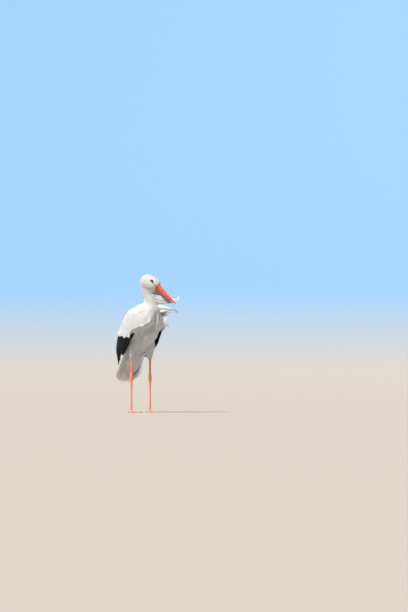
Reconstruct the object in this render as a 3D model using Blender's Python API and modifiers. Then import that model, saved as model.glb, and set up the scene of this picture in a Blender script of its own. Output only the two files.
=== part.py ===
"""White stork, Ciconia ciconia: a still, life-size bird standing on both feet with folded wings.

Units are metres. The bird faces -Y, its left is +X, and its soles stand on z = 0.
The trunk, wings and tail are laid out along the body axis, which falls steeply from the
neck base to the tail. A place on them is a distance s along that axis, a distance n off it
towards the bird's back, and x to the bird's left.
"""

import math

import bmesh
import bpy
import numpy as np
from mathutils import Matrix, Vector

# Driving dimensions, in metres and degrees.
BODY_PITCH = 60.0
AXIS_START = Vector((0.0, -0.080, 0.630))
HEAD_CENTRE = Vector((0.0, -0.087, 0.770))
HEAD_TURN = 19.0
HEAD_PITCH = 27.0
BILL_PITCH = 38.5
BILL_LENGTH = 0.194
BILL_ROOT_AHEAD = 0.030
BILL_ROOT_UP = 0.0105
BILL_ROOT_WIDTH = 0.0270
BILL_ROOT_DEPTH = 0.0390
BILL_TIP_TAPER = 0.35
EYE_RADIUS = 0.0078
EYE_AHEAD = 0.023
EYE_UP = 0.0280
EYE_OUT = 0.0325
LEG_SPACING = 0.125
LEG_STAGGER = 0.022
LEG_MEAN_Y = 0.004
HOCK_HEIGHT = 0.208
THIGH_END_RIGHT = 0.322
THIGH_END_LEFT = 0.314
HOCK_LENGTH_UP = 0.022
HOCK_LENGTH_DOWN = 0.020
TOE_RADIUS = 0.0048
TOE_ROOT_BACK = 0.003
PAD_CENTRE_UP = 0.005
PAD_SIZE = (0.0125, 0.0150, 0.0085)
WEB_HEADINGS = (17.0, -14.0)
WEB_AHEAD = 0.013
WEB_CENTRE_UP = 0.0034
WEB_SIZE = (0.0085, 0.0170, 0.0024)
COVERT_THICKNESS = 0.022
COVERT_START = -0.010
COVERT_END = 0.300
SECONDARY_END = 0.384
PRIMARY_END = 0.430
VANE_THICKNESS = 0.007
UNDERLAP = 0.004
DROOP_START = 0.090
DROOP_RUN = 0.060
TAIL_ROOT = 0.285
TAIL_THICKNESS = 0.010
TAIL_PITCH = 69.0
TAIL_LENGTH = 0.226
TAIL_HALF_WIDTH = 0.094
TAIL_ROOT_SHARE = 0.76
TAIL_ARCH = 0.012
TAIL_SWING = 0.08
GAP = 0.0003
MERGE = 0.00001
FLAT_ENOUGH = math.radians(1.0)

# Trunk rings: distance along the axis, shift towards the back, half width, half depth.
TRUNK_RINGS = (
    (-0.022, -0.006, 0.030, 0.028),
    (0.000, -0.012, 0.064, 0.062),
    (0.040, -0.022, 0.092, 0.107),
    (0.090, -0.026, 0.104, 0.138),
    (0.140, -0.012, 0.100, 0.136),
    (0.200, 0.004, 0.094, 0.122),
    (0.255, 0.012, 0.084, 0.102),
    (0.305, 0.012, 0.074, 0.080),
    (0.345, 0.014, 0.054, 0.052),
    (0.368, 0.014, 0.024, 0.024),
)
# Neck rings: y and z of the middle, half width, half depth.
NECK_RINGS = (
    (-0.066, 0.796, 0.026, 0.028),
    (-0.057, 0.770, 0.043, 0.048),
    (-0.058, 0.735, 0.044, 0.049),
    (-0.074, 0.700, 0.039, 0.044),
    (-0.090, 0.668, 0.036, 0.043),
    (-0.097, 0.636, 0.052, 0.058),
    (-0.094, 0.604, 0.078, 0.082),
    (-0.084, 0.572, 0.084, 0.092),
    (-0.066, 0.550, 0.050, 0.055),
)
# Head rings: distance ahead of the head's centre, shift up, half width, half height.
HEAD_RINGS = (
    (-0.067, -0.008, 0.018, 0.020),
    (-0.055, -0.006, 0.037, 0.041),
    (-0.034, -0.001, 0.047, 0.053),
    (0.000, 0.002, 0.048, 0.054),
    (0.026, 0.006, 0.044, 0.051),
    (0.046, 0.011, 0.036, 0.041),
    (0.057, 0.012, 0.026, 0.028),
    (0.064, 0.011, 0.015, 0.019),
)
# Outer surface of the folded wing: distance along the axis, half width, depth to back and front.
WING_SECTIONS = (
    (-0.020, 0.048, 0.040, 0.050),
    (0.030, 0.100, 0.080, 0.128),
    (0.080, 0.117, 0.112, 0.164),
    (0.140, 0.123, 0.130, 0.164),
    (0.200, 0.123, 0.136, 0.146),
    (0.260, 0.117, 0.132, 0.116),
    (0.320, 0.104, 0.120, 0.080),
    (0.370, 0.090, 0.104, 0.060),
    (0.420, 0.074, 0.078, 0.050),
)
# Edges of the folded wing, as degrees round the body from the middle of the back.
WING_EDGES = (
    (-0.020, -4.0, 150.0),
    (0.015, -4.0, 157.0),
    (0.048, -4.0, 139.0),
    (0.085, -4.0, 121.0),
    (0.122, -4.0, 107.0),
    (0.145, -4.0, 103.0),
    (0.193, -4.0, 109.0),
    (0.260, -4.0, 110.0),
    (0.315, 2.0, 100.0),
    (0.374, 12.0, 76.0),
    (0.420, 22.0, 56.0),
)
# Angles of the toes from straight ahead, positive towards the bird's middle line.
TOES = (
    ("inner", 33.0, 0.060, 1.00),
    ("middle", 2.0, 0.078, 1.05),
    ("outer", -30.0, 0.064, 0.98),
    ("hind", 176.0, 0.030, 0.90),
)

COLOURS = {
    "white_plumage": ((0.83, 0.80, 0.75), 0.75),
    "black_plumage": ((0.008, 0.008, 0.010), 0.45),
    "bill_horn": ((0.72, 0.10, 0.035), 0.38),
    "leg_skin": ((0.76, 0.16, 0.08), 0.55),
    "claw_horn": ((0.055, 0.030, 0.026), 0.45),
    "eye_glass": ((0.010, 0.007, 0.005), 0.06),
}

ALONG = Vector((0.0, math.cos(math.radians(BODY_PITCH)), -math.sin(math.radians(BODY_PITCH))))
BACKWARD = Vector((0.0, math.sin(math.radians(BODY_PITCH)), math.cos(math.radians(BODY_PITCH))))


def clear_scene():
    for obj in list(bpy.data.objects):
        bpy.data.objects.remove(obj, do_unlink=True)


def new_collection(name):
    collection = bpy.data.collections.new(name)
    bpy.context.scene.collection.children.link(collection)
    return collection


def material(name):
    """The Principled material of this name, made on first use."""
    if name in bpy.data.materials:
        return bpy.data.materials[name]
    colour, roughness = COLOURS[name]
    made = bpy.data.materials.new(name)
    made.use_nodes = True
    shader = made.node_tree.nodes["Principled BSDF"]
    shader.inputs["Base Color"].default_value = (*colour, 1.0)
    shader.inputs["Roughness"].default_value = roughness
    shader.inputs["Metallic"].default_value = 0.0
    made.diffuse_color = (*colour, 1.0)
    return made


def link_mesh(name, bm, material_name):
    """A new object from this bmesh, with its faces turned outwards."""
    bmesh.ops.recalc_face_normals(bm, faces=bm.faces)
    mesh = bpy.data.meshes.new(name)
    bm.to_mesh(mesh)
    bm.free()
    mesh.materials.append(material(material_name))
    mesh.shade_smooth()
    obj = bpy.data.objects.new(name, mesh)
    PARTS.objects.link(obj)
    return obj


def bake(obj):
    """Replaces the object's mesh by its evaluated one, so that later cuts see it."""
    graph = bpy.context.evaluated_depsgraph_get()
    mesh = bpy.data.meshes.new_from_object(obj.evaluated_get(graph))
    obj.modifiers.clear()
    obj.data = mesh
    return triangulate(obj)


def triangulate(obj):
    """Splits the faces into triangles, so that a cutter's faces bend just where the object's do."""
    bm = bmesh.new()
    bm.from_mesh(obj.data)
    bmesh.ops.triangulate(bm, faces=bm.faces)
    bm.to_mesh(obj.data)
    bm.free()
    return obj


def tidy_mesh(obj):
    """Joins the points that a cut leaves closer together than a hundredth of a millimetre."""
    bm = bmesh.new()
    bm.from_mesh(obj.data)
    bmesh.ops.remove_doubles(bm, verts=bm.verts, dist=MERGE)
    bmesh.ops.dissolve_degenerate(bm, edges=bm.edges, dist=MERGE)
    bm.to_mesh(obj.data)
    bm.free()
    return obj


def copy_of(obj, name):
    """A separate object with a mesh of its own."""
    copy = bpy.data.objects.new(name, obj.data.copy())
    copy.data.name = name
    copy.matrix_world = obj.matrix_world
    PARTS.objects.link(copy)
    return copy


def remove(*objects):
    for obj in objects:
        bpy.data.objects.remove(obj, do_unlink=True)


def boolean(obj, other, operation):
    """Joins the other object to this one, or cuts it away."""
    modifier = obj.modifiers.new("Boolean", "BOOLEAN")
    modifier.operation = operation
    modifier.solver = "EXACT"
    modifier.object = other
    bpy.context.view_layer.update()
    bake(obj)
    return tidy_mesh(obj)


def cutter_of(obj):
    """A hidden copy whose surface stands one gap outside the object's own."""
    cutter = copy_of(obj, obj.name + "_cutter")
    PARTS.objects.unlink(cutter)
    CUTTERS.objects.link(cutter)
    cutter.hide_render = True
    cutter.display_type = "WIRE"
    bm = bmesh.new()
    bm.from_mesh(cutter.data)
    bm.normal_update()
    outward = [vertex.normal.copy() for vertex in bm.verts]
    for vertex, normal in zip(bm.verts, outward):
        vertex.co += normal * GAP
    bm.to_mesh(cutter.data)
    bm.free()
    return cutter


def islands(bm):
    """The connected groups of vertices."""
    groups = []
    left = set(bm.verts)
    while left:
        group = set()
        edge_of_group = [left.pop()]
        while edge_of_group:
            vertex = edge_of_group.pop()
            group.add(vertex)
            near = {edge.other_vert(vertex) for edge in vertex.link_edges} & left
            left -= near
            edge_of_group += near
        groups.append(group)
    return groups


def keep_largest(obj):
    """Deletes the crumbs that cuts have left beside the main piece, and joins its flat faces."""
    bm = bmesh.new()
    bm.from_mesh(obj.data)
    groups = sorted(islands(bm), key=spread, reverse=True)
    crumbs = [vertex for group in groups[1:] for vertex in group]
    bmesh.ops.delete(bm, geom=crumbs, context="VERTS")
    bmesh.ops.dissolve_limit(bm, angle_limit=FLAT_ENOUGH, verts=bm.verts, edges=bm.edges)
    bmesh.ops.triangulate(bm, faces=bm.faces)
    bm.to_mesh(obj.data)
    bm.free()


def spread(group):
    """The diagonal of the group's box."""
    places = np.array([tuple(vertex.co) for vertex in group])
    return float(np.linalg.norm(places.max(axis=0) - places.min(axis=0)))


def carve(obj, *cutters):
    """Cuts each of the cutters out of the object."""
    for cutter in cutters:
        boolean(obj, cutter, "DIFFERENCE")
    keep_largest(obj)
    return obj


def cut_plane(obj, point, normal):
    """Keeps the side of the plane that its normal points to, and closes the cut."""
    bm = bmesh.new()
    bm.from_mesh(obj.data)
    everything = bm.verts[:] + bm.edges[:] + bm.faces[:]
    bmesh.ops.bisect_plane(bm, geom=everything, plane_co=point, plane_no=normal, clear_inner=True)
    rim = [edge for edge in bm.edges if edge.is_boundary]
    bmesh.ops.holes_fill(bm, edges=rim, sides=0)
    bmesh.ops.recalc_face_normals(bm, faces=bm.faces)
    bm.to_mesh(obj.data)
    bm.free()
    return obj


def part_between(whole, name, planes):
    """The piece of the whole on the inner side of each plane, half a gap away from it."""
    piece = copy_of(whole, name)
    for point, normal in planes:
        direction = normal.normalized()
        cut_plane(piece, point + direction * GAP / 2, direction)
    return piece


def smooth_row(table, value):
    """The table's row at this value of its first column, through a smooth curve."""
    rows = np.array(table, float)
    place = np.interp(value, rows[:, 0], np.arange(len(rows)))
    low = min(int(place), len(rows) - 2)
    blend = place - low
    before = rows[max(low - 1, 0)]
    after = rows[min(low + 2, len(rows) - 1)]
    start, end = rows[low], rows[low + 1]
    bend = 2 * before - 5 * start + 4 * end - after
    twist = 3 * start - before - 3 * end + after
    return 0.5 * (2 * start + (end - before) * blend + bend * blend**2 + twist * blend**3)[1:]


def ring_frame(centre, tangent, side):
    """The matrix that lays a ring across the tangent, with its own x along the side."""
    forward = tangent.normalized()
    across = (side - forward * side.dot(forward)).normalized()
    up = forward.cross(across)
    turn = Matrix((across, up, forward)).transposed().to_4x4()
    return Matrix.Translation(centre) @ turn


def ring_body(name, rings, sides, material_name, levels=1, side=Vector((1, 0, 0))):
    """A closed body through rings of (centre, half width, half depth), rounded by subdivision."""
    bm = bmesh.new()
    centres = [Vector(ring[0]) for ring in rings]
    loops = []
    for index, (_, width, depth) in enumerate(rings):
        tangent = centres[min(index + 1, len(rings) - 1)] - centres[max(index - 1, 0)]
        frame = ring_frame(centres[index], tangent, side)
        at_end = index in (0, len(rings) - 1)
        made = bmesh.ops.create_circle(bm, cap_ends=at_end, segments=sides, radius=1.0)
        bmesh.ops.transform(bm, matrix=frame @ Matrix.Diagonal((width, depth, 1, 1)), verts=made["verts"])
        loop = {edge for vertex in made["verts"] for edge in vertex.link_edges}
        loops.append([edge for edge in loop if len(edge.link_faces) < 2])
    for first, second in zip(loops, loops[1:]):
        bmesh.ops.bridge_loops(bm, edges=first + second)
    obj = link_mesh(name, bm, material_name)
    if levels:
        rounding = obj.modifiers.new("Subdivision", "SUBSURF")
        rounding.levels = levels
        rounding.render_levels = levels
        return bake(obj)
    return triangulate(obj)


def on_axis(s, n=0.0, x=0.0):
    """The point at s along the body axis, n off it towards the back, x to the left."""
    return AXIS_START + ALONG * s + BACKWARD * n + Vector((x, 0.0, 0.0))


def head_turn():
    """The turn of the head about its own centre, without the pitch."""
    return Matrix.Rotation(math.radians(HEAD_TURN), 3, "Z")


def in_head(ahead, up, out, pitch=HEAD_PITCH):
    """A point given ahead of, above and to the left of the head's centre."""
    angle = math.radians(pitch)
    flat = Vector((out, -ahead * math.cos(angle) - up * math.sin(angle), 0.0))
    flat.z = -ahead * math.sin(angle) + up * math.cos(angle)
    return HEAD_CENTRE + head_turn() @ flat


def make_trunk():
    rings = [(on_axis(s, shift), width, depth) for s, shift, width, depth in TRUNK_RINGS]
    return ring_body("trunk", rings, 10, "white_plumage")


def make_neck():
    rings = [(Vector((0.0, y, z)), width, depth) for y, z, width, depth in NECK_RINGS]
    return ring_body("neck", rings, 8, "white_plumage")


def make_head():
    side = head_turn() @ Vector((1, 0, 0))
    rings = [(in_head(ahead, up, 0.0), width, height) for ahead, up, width, height in HEAD_RINGS]
    return ring_body("head", rings, 10, "white_plumage", side=side)


def make_bill():
    """The two halves of the closed bill, a long straight wedge that ends in a point.

    It returns the cutter for the whole bill, then the halves.
    """
    base = in_head(BILL_ROOT_AHEAD, BILL_ROOT_UP, 0.0)
    direction = (in_head(1.0, 0.0, 0.0, BILL_PITCH) - HEAD_CENTRE).normalized()
    side = head_turn() @ Vector((1, 0, 0))
    rings = []
    for step in (0.0, 0.04, 0.14, 0.30, 0.50, 0.70, 0.86, 0.96, 1.0):
        taper = 1.0 - 0.90 * step**1.3
        if step == 1.0:
            taper *= BILL_TIP_TAPER
        centre = base + direction * BILL_LENGTH * step
        rings.append((centre, BILL_ROOT_WIDTH / 2 * taper, BILL_ROOT_DEPTH / 2 * taper))
    whole = ring_body("bill", rings, 10, "bill_horn", levels=0, side=side)
    up = direction.cross(side).normalized()
    if up.z < 0:
        up = -up
    upper = part_between(whole, "bill_upper", [(base, up)])
    lower = part_between(whole, "bill_lower", [(base, -up)])
    cutter = cutter_of(whole)
    remove(whole)
    return cutter, upper, lower


def make_eye(side_name, side):
    bm = bmesh.new()
    place = Matrix.Translation(in_head(EYE_AHEAD, EYE_UP, side * EYE_OUT))
    bmesh.ops.create_uvsphere(bm, u_segments=12, v_segments=6, radius=EYE_RADIUS, matrix=place)
    return link_mesh("eye_" + side_name, bm, "eye_glass")


def wing_point(side, p, s, inset, droop):
    """A point of the wing's outer surface, p of the way round from its upper to its lower edge."""
    width, to_back, to_front = smooth_row(WING_SECTIONS, s)
    upper, lower = smooth_row(WING_EDGES, s)
    lower += droop * min(max((s - DROOP_START) / DROOP_RUN, 0.0), 1.0)
    angle = math.radians(upper + (lower - upper) * p)
    depth = to_back if math.cos(angle) > 0 else to_front
    return on_axis(s, (depth - inset) * math.cos(angle), side * (width - inset) * math.sin(angle))


def make_shell(name, surface, cells, thickness, material_name):
    """A shell this thick under the surface(p, q), which runs from 0 to 1 both ways."""
    bm = bmesh.new()
    bmesh.ops.create_grid(bm, x_segments=cells[0], y_segments=cells[1], size=0.5)
    for vertex in bm.verts:
        vertex.co = surface(vertex.co.x + 0.5, vertex.co.y + 0.5)
    bm.normal_update()
    middle = sum((vertex.co for vertex in bm.verts), Vector()) / len(bm.verts)
    inner = on_axis((middle - AXIS_START).dot(ALONG))
    facing_out = sum(face.normal.dot(face.calc_center_median() - inner) for face in bm.faces)
    if facing_out < 0:
        bmesh.ops.reverse_faces(bm, faces=bm.faces)
    mesh = bpy.data.meshes.new(name)
    bm.to_mesh(mesh)
    bm.free()
    mesh.materials.append(material(material_name))
    obj = bpy.data.objects.new(name, mesh)
    PARTS.objects.link(obj)
    skin = obj.modifiers.new("Solidify", "SOLIDIFY")
    skin.thickness = thickness
    skin.offset = -1.0
    skin.use_even_offset = False
    bake(obj)
    obj.data.shade_smooth()
    return obj


def make_wing(side_name, side, droop, slant):
    """The folded wing: a white shell over the upper part, and black quills below it.

    The lower edge of the black part hangs further round the body by the droop, in degrees.
    The white coverts end higher on the side than on the back, by the slant.
    """

    def covert_end(p):
        return COVERT_END - slant * p**0.8

    def coverts(p, q):
        start = COVERT_START + 0.030 * max(p - 0.55, 0.0)
        return wing_point(side, p, start + (covert_end(p) - start) * q, 0.0, droop)

    def secondaries(p, q):
        start = covert_end(p) - UNDERLAP
        end = SECONDARY_END - 0.10 * abs(p - 0.45) ** 1.4 - 0.03 * p
        return wing_point(side, p, start + (end - start) * q, 0.0, droop)

    def primaries(p, q):
        start = covert_end(p) - UNDERLAP
        end = PRIMARY_END - 0.13 * abs(p - 0.30) ** 1.3
        return wing_point(side, p, start + (end - start) * q, VANE_THICKNESS + 3 * GAP, droop)

    name = "wing_" + side_name
    shells = (
        make_shell(name + "_coverts", coverts, (7, 6), COVERT_THICKNESS, "white_plumage"),
        make_shell(name + "_secondaries", secondaries, (7, 4), VANE_THICKNESS, "black_plumage"),
        make_shell(name + "_primaries", primaries, (6, 4), VANE_THICKNESS, "black_plumage"),
    )
    cutters = [cutter_of(shell) for shell in shells]
    for index, shell in enumerate(shells):
        carve(shell, *cutters[:index])
        cut_plane(shell, Vector((side * GAP / 2, 0, 0)), Vector((side, 0, 0)))
        keep_largest(shell)
    return cutters


def make_tail():
    """The folded tail, a rounded fan that hangs a little steeper than the body."""
    pitch = math.radians(TAIL_PITCH)
    base = on_axis(TAIL_ROOT, TAIL_ARCH)
    direction = Vector((-TAIL_SWING, math.cos(pitch), -math.sin(pitch)))
    upward = Vector((0.0, math.sin(pitch), math.cos(pitch)))

    def surface(p, q):
        across = 2 * p - 1
        reach = TAIL_LENGTH * q * (1 - 0.14 * q * across**2 - 0.12 * q * across**4)
        opened = TAIL_ROOT_SHARE + (1 - TAIL_ROOT_SHARE) * min(q * 1.4, 1.0)
        width = TAIL_HALF_WIDTH * opened * (1 - 0.05 * q**4)
        sunk = upward * TAIL_ARCH * across**2
        return base + direction * reach + Vector((across * width, 0, 0)) - sunk

    return make_shell("tail", surface, (8, 5), TAIL_THICKNESS, "white_plumage")


def make_undertail():
    """The long soft feathers between the thighs and the tail's underside."""
    rings = (
        (Vector((0.0, 0.040, 0.385)), 0.040, 0.030),
        (Vector((0.0, 0.052, 0.350)), 0.062, 0.046),
        (Vector((0.0, 0.074, 0.310)), 0.068, 0.044),
        (Vector((-0.004, 0.094, 0.270)), 0.058, 0.030),
        (Vector((-0.006, 0.113, 0.228)), 0.030, 0.010),
    )
    return ring_body("undertail_coverts", rings, 8, "white_plumage")


def leg_place(side):
    """The x and y of a leg, the left one standing a little ahead."""
    return side * LEG_SPACING / 2, LEG_MEAN_Y - side * LEG_STAGGER / 2


def make_thigh(side_name, side):
    x, y = leg_place(side)
    end = THIGH_END_LEFT if side > 0 else THIGH_END_RIGHT
    rings = (
        (Vector((x * 0.82, y + 0.006, 0.445)), 0.036, 0.050),
        (Vector((x * 0.90, y + 0.004, 0.400)), 0.040, 0.056),
        (Vector((x, y, 0.350)), 0.021, 0.027),
        (Vector((x, y, end + 0.008)), 0.0125, 0.0145),
        (Vector((x, y, end)), 0.0095, 0.0105),
    )
    thigh = ring_body("thigh_" + side_name, rings, 8, "white_plumage")
    return cut_plane(thigh, Vector((0, 0, end)), Vector((0, 0, 1)))


def make_leg(side_name, side):
    """The bare leg: shank, hock joint and tarsus, with slight swellings at the joints."""
    x, y = leg_place(side)
    top = (THIGH_END_LEFT if side > 0 else THIGH_END_RIGHT) - GAP
    profile = (
        (top, 0.0066, 0.0070),
        (0.270, 0.0056, 0.0060),
        (HOCK_HEIGHT + HOCK_LENGTH_UP + 0.004, 0.0062, 0.0072),
        (HOCK_HEIGHT + 0.010, 0.0092, 0.0112),
        (HOCK_HEIGHT - 0.006, 0.0096, 0.0114),
        (HOCK_HEIGHT - HOCK_LENGTH_DOWN - 0.004, 0.0068, 0.0078),
        (0.150, 0.0052, 0.0058),
        (0.080, 0.0052, 0.0060),
        (0.030, 0.0062, 0.0074),
        (0.008, 0.0078, 0.0090),
    )
    rings = [(Vector((x, y, z)), width, depth) for z, width, depth in profile]
    return ring_body("leg_" + side_name, rings, 10, "leg_skin", levels=0)


def make_pad(side_name, side):
    """The foot's middle, with the short webs between the front toes."""
    x, y = leg_place(side)
    bm = bmesh.new()
    shape = Matrix.Translation((x, y - TOE_ROOT_BACK, PAD_CENTRE_UP)) @ Matrix.Diagonal((*PAD_SIZE, 1))
    bmesh.ops.create_uvsphere(bm, u_segments=10, v_segments=6, radius=1.0, matrix=shape)
    pad = link_mesh("foot_" + side_name, bm, "leg_skin")
    for heading in WEB_HEADINGS:
        bm = bmesh.new()
        turn = Matrix.Rotation(math.radians(-side * heading), 4, "Z")
        shape = Matrix.Translation((x, y, WEB_CENTRE_UP)) @ turn @ Matrix.Translation((0, -WEB_AHEAD, 0))
        shape = shape @ Matrix.Diagonal((*WEB_SIZE, 1))
        bmesh.ops.create_uvsphere(bm, u_segments=8, v_segments=4, radius=1.0, matrix=shape)
        web = link_mesh("web", bm, "leg_skin")
        boolean(pad, web, "UNION")
        remove(web)
    return cut_plane(pad, Vector((0, 0, 0)), Vector((0, 0, 1)))


def make_toe(side_name, side, toe):
    """One toe and its flat claw, both lying along the ground."""
    toe_name, heading, length, stoutness = toe
    x, y = leg_place(side)
    angle = math.radians(heading)
    ahead = Vector((-side * math.sin(angle), -math.cos(angle), 0.0))
    across = Vector((-ahead.y, ahead.x, 0.0))
    start = Vector((x, y - TOE_ROOT_BACK, 0.0))
    radius = TOE_RADIUS * stoutness
    joints = 2 if toe_name == "hind" else 3
    rings = []
    for step in range(6):
        t = step / 5
        swell = 1.0 + 0.10 * math.cos(2 * math.pi * joints * t)
        size = radius * swell * (1.0 - 0.34 * t)
        if step == 5:
            size *= 0.72
        height = size * 0.86
        rings.append((start + ahead * length * t + Vector((0, 0, height)), size, size))
    toe_body = ring_body("toe_%s_%s" % (toe_name, side_name), rings, 8, "leg_skin", 0, across)
    root = start + ahead * (length - 0.001)
    cut_plane(toe_body, root - ahead * GAP / 2, -ahead)
    cut_plane(toe_body, Vector((0, 0, 0)), Vector((0, 0, 1)))
    claw_rings = (
        (root - ahead * 0.001 + Vector((0, 0, 0.0026)), 0.0020, 0.0016),
        (root + ahead * 0.003 + Vector((0, 0, 0.0030)), 0.0026, 0.0021),
        (root + ahead * 0.008 + Vector((0, 0, 0.0024)), 0.0020, 0.0014),
        (root + ahead * 0.012 + Vector((0, 0, 0.0016)), 0.0010, 0.0007),
    )
    claw_name = "claw_%s_%s" % (toe_name, side_name)
    claw = ring_body(claw_name, claw_rings, 8, "claw_horn", levels=0, side=across)
    cut_plane(claw, root + ahead * GAP / 2, ahead)
    return toe_body


def make_plume(name, route, widths, thickness):
    """A lock of long breast feathers along a bent route, flattened sideways."""
    rings = []
    for point, width in zip(route, widths):
        rings.append((Vector(point), min(thickness, width), width))
    return ring_body(name, rings, 6, "white_plumage", side=Vector((0.64, 0.77, 0)))


def make_plumes():
    """Three wind-lifted locks of the foreneck and breast, blown to the bird's left front."""
    upper = make_plume(
        "breast_plume_upper",
        ((-0.010, -0.088, 0.700), (0.026, -0.128, 0.694), (0.058, -0.158, 0.682),
         (0.090, -0.184, 0.667), (0.112, -0.196, 0.668), (0.124, -0.200, 0.680), (0.134, -0.204, 0.697)),
        (0.030, 0.041, 0.032, 0.012, 0.006, 0.005, 0.002),
        0.010,
    )
    middle = make_plume(
        "breast_plume_middle",
        ((0.004, -0.125, 0.618), (0.034, -0.150, 0.620), (0.066, -0.178, 0.613),
         (0.098, -0.204, 0.604), (0.112, -0.214, 0.599)),
        (0.018, 0.020, 0.013, 0.007, 0.002),
        0.008,
    )
    lower = make_plume(
        "breast_plume_lower",
        ((0.024, -0.120, 0.592), (0.050, -0.146, 0.574), (0.056, -0.152, 0.545),
         (0.070, -0.160, 0.518), (0.082, -0.168, 0.502)),
        (0.024, 0.027, 0.018, 0.009, 0.002),
        0.012,
    )
    return upper, middle, lower


def neck_planes():
    """The thin cuts that part head, neck lengths and trunk, each with its upward normal."""
    return (
        (Vector((0, -0.062, 0.742)), Vector((0, -0.42, 0.91))),
        (Vector((0, -0.078, 0.706)), Vector((0, -0.10, 0.99))),
        (Vector((0, -0.092, 0.668)), Vector((0, 0.00, 1.00))),
        (Vector((0, -0.094, 0.622)), Vector((0, -0.34, 0.94))),
    )


def part_flesh(flesh):
    """Parts the joined head, neck and trunk into nodes with thin cuts."""
    planes = neck_planes()
    names = ("head", "neck_upper", "neck_middle", "neck_lower", "trunk")
    pieces = []
    for index, name in enumerate(names):
        bounds = []
        if index < len(planes):
            bounds.append(planes[index])
        if index > 0:
            point, normal = planes[index - 1]
            bounds.append((point, -normal))
        pieces.append(part_between(flesh, name, bounds))
    remove(flesh)
    return pieces


def stand_on_origin(root):
    """Moves the root so that the middle of the bird's box is over the origin."""
    bpy.context.view_layer.update()
    corners = []
    for obj in PARTS.objects:
        if obj.type == "MESH":
            corners += [obj.matrix_world @ vertex.co for vertex in obj.data.vertices]
    places = np.array([tuple(corner) for corner in corners])
    middle = (places.min(axis=0) + places.max(axis=0)) / 2
    root.location = (-middle[0], -middle[1], -places[:, 2].min())


def build_body():
    """Head, neck, trunk, wings, tail, thighs and plumes, each cut clear of its neighbours."""
    bill_cutter, *bill = make_bill()
    eyes = [make_eye(name, side) for name, side in SIDES]
    eye_cutters = [cutter_of(eye) for eye in eyes]
    wing_cutters = [cutter for wing in WINGS for cutter in make_wing(*wing)]
    flesh, neck, head = make_trunk(), make_neck(), make_head()
    body_cutters = [cutter_of(form) for form in (flesh, neck, head)]
    trunk_cutter = body_cutters[0]
    for other in (neck, head):
        boolean(flesh, other, "UNION")
        remove(other)
    flesh.name = "flesh"
    pieces = part_flesh(flesh)
    carve(pieces[0], bill_cutter, *eye_cutters)
    carve(pieces[-2], *wing_cutters)
    carve(pieces[-1], *wing_cutters)
    tail, undertail = make_tail(), make_undertail()
    tail_cutter, undertail_cutter = cutter_of(tail), cutter_of(undertail)
    carve(tail, trunk_cutter, *wing_cutters)
    carve(undertail, trunk_cutter, tail_cutter, *wing_cutters)
    for name, side in SIDES:
        carve(make_thigh(name, side), trunk_cutter, undertail_cutter, *wing_cutters)
    for plume in make_plumes():
        carve(plume, bill_cutter, *body_cutters, *wing_cutters)


def build_leg(name, side):
    """One bare leg and its foot, parted at the hock and at each toe's root."""
    leg = make_leg(name, side)
    x, y = leg_place(side)
    upward = Vector((0, 0, 1))
    above_hock = Vector((x, y, HOCK_HEIGHT + HOCK_LENGTH_UP))
    below_hock = Vector((x, y, HOCK_HEIGHT - HOCK_LENGTH_DOWN))
    foot_cutter = cutter_of(make_pad(name, side))
    part_between(leg, "shank_" + name, [(above_hock, upward)])
    part_between(leg, "hock_" + name, [(above_hock, -upward), (below_hock, upward)])
    tarsus = part_between(leg, "tarsus_" + name, [(below_hock, -upward)])
    leg_cutter = cutter_of(leg)
    remove(leg)
    carve(tarsus, foot_cutter)
    for toe in TOES:
        carve(make_toe(name, side, toe), foot_cutter, leg_cutter)


SIDES = (("left", 1), ("right", -1))
# For each wing: its side, the droop of its lower edge and the slant of its coverts' end.
WINGS = (("left", 1, 14.0, 0.172), ("right", -1, 1.0, 0.112))

clear_scene()
PARTS = new_collection("white_stork")
CUTTERS = new_collection("cutters")
build_body()
for side_name, side_sign in SIDES:
    build_leg(side_name, side_sign)
ROOT = bpy.data.objects.new("white_stork_root", None)
PARTS.objects.link(ROOT)
for part in PARTS.objects:
    if part != ROOT:
        part.parent = ROOT
stand_on_origin(ROOT)
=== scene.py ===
"""White stork, Ciconia ciconia: the plumage, bill, eyes and legs of a life-size still bird.

It stands on both feet on a pale studio floor. Units are metres; the bird faces -Y, its left is +X.
"""

import math

import bmesh
import bpy
import numpy as np
from mathutils import Matrix, Vector
from mathutils.bvhtree import BVHTree


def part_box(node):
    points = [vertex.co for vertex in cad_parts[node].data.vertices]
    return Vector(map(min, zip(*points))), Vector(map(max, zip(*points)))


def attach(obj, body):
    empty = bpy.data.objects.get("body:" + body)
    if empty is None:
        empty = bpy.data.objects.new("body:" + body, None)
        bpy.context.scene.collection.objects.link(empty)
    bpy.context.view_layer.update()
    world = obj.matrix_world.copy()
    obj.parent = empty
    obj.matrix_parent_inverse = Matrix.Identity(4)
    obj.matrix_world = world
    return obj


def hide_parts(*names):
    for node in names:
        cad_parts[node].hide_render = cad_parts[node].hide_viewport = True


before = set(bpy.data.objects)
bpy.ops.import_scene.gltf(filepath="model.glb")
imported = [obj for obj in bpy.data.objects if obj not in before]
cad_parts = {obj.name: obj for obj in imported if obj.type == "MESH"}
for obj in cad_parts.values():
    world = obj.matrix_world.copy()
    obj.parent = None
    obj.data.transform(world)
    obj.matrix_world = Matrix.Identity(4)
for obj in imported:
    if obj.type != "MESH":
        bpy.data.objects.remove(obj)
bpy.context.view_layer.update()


# ---- Studio: a seamless pale dish -------------------------------------------------------------
# One sheet that is a level floor in the middle and sweeps up into a far wall on every side, so that
# no edge or corner shows behind the bird from any direction.

SHEET_SIZE = 130.0
SHEET_CELLS = 130
FLOOR_RADIUS = 14.0
WALL_SWEEP = 0.0076
WALL_TONE_HEIGHT = 2.5
FLOOR_TONE = (0.45, 0.41, 0.355)
WALL_TONE = (0.20, 0.38, 0.60)


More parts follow.
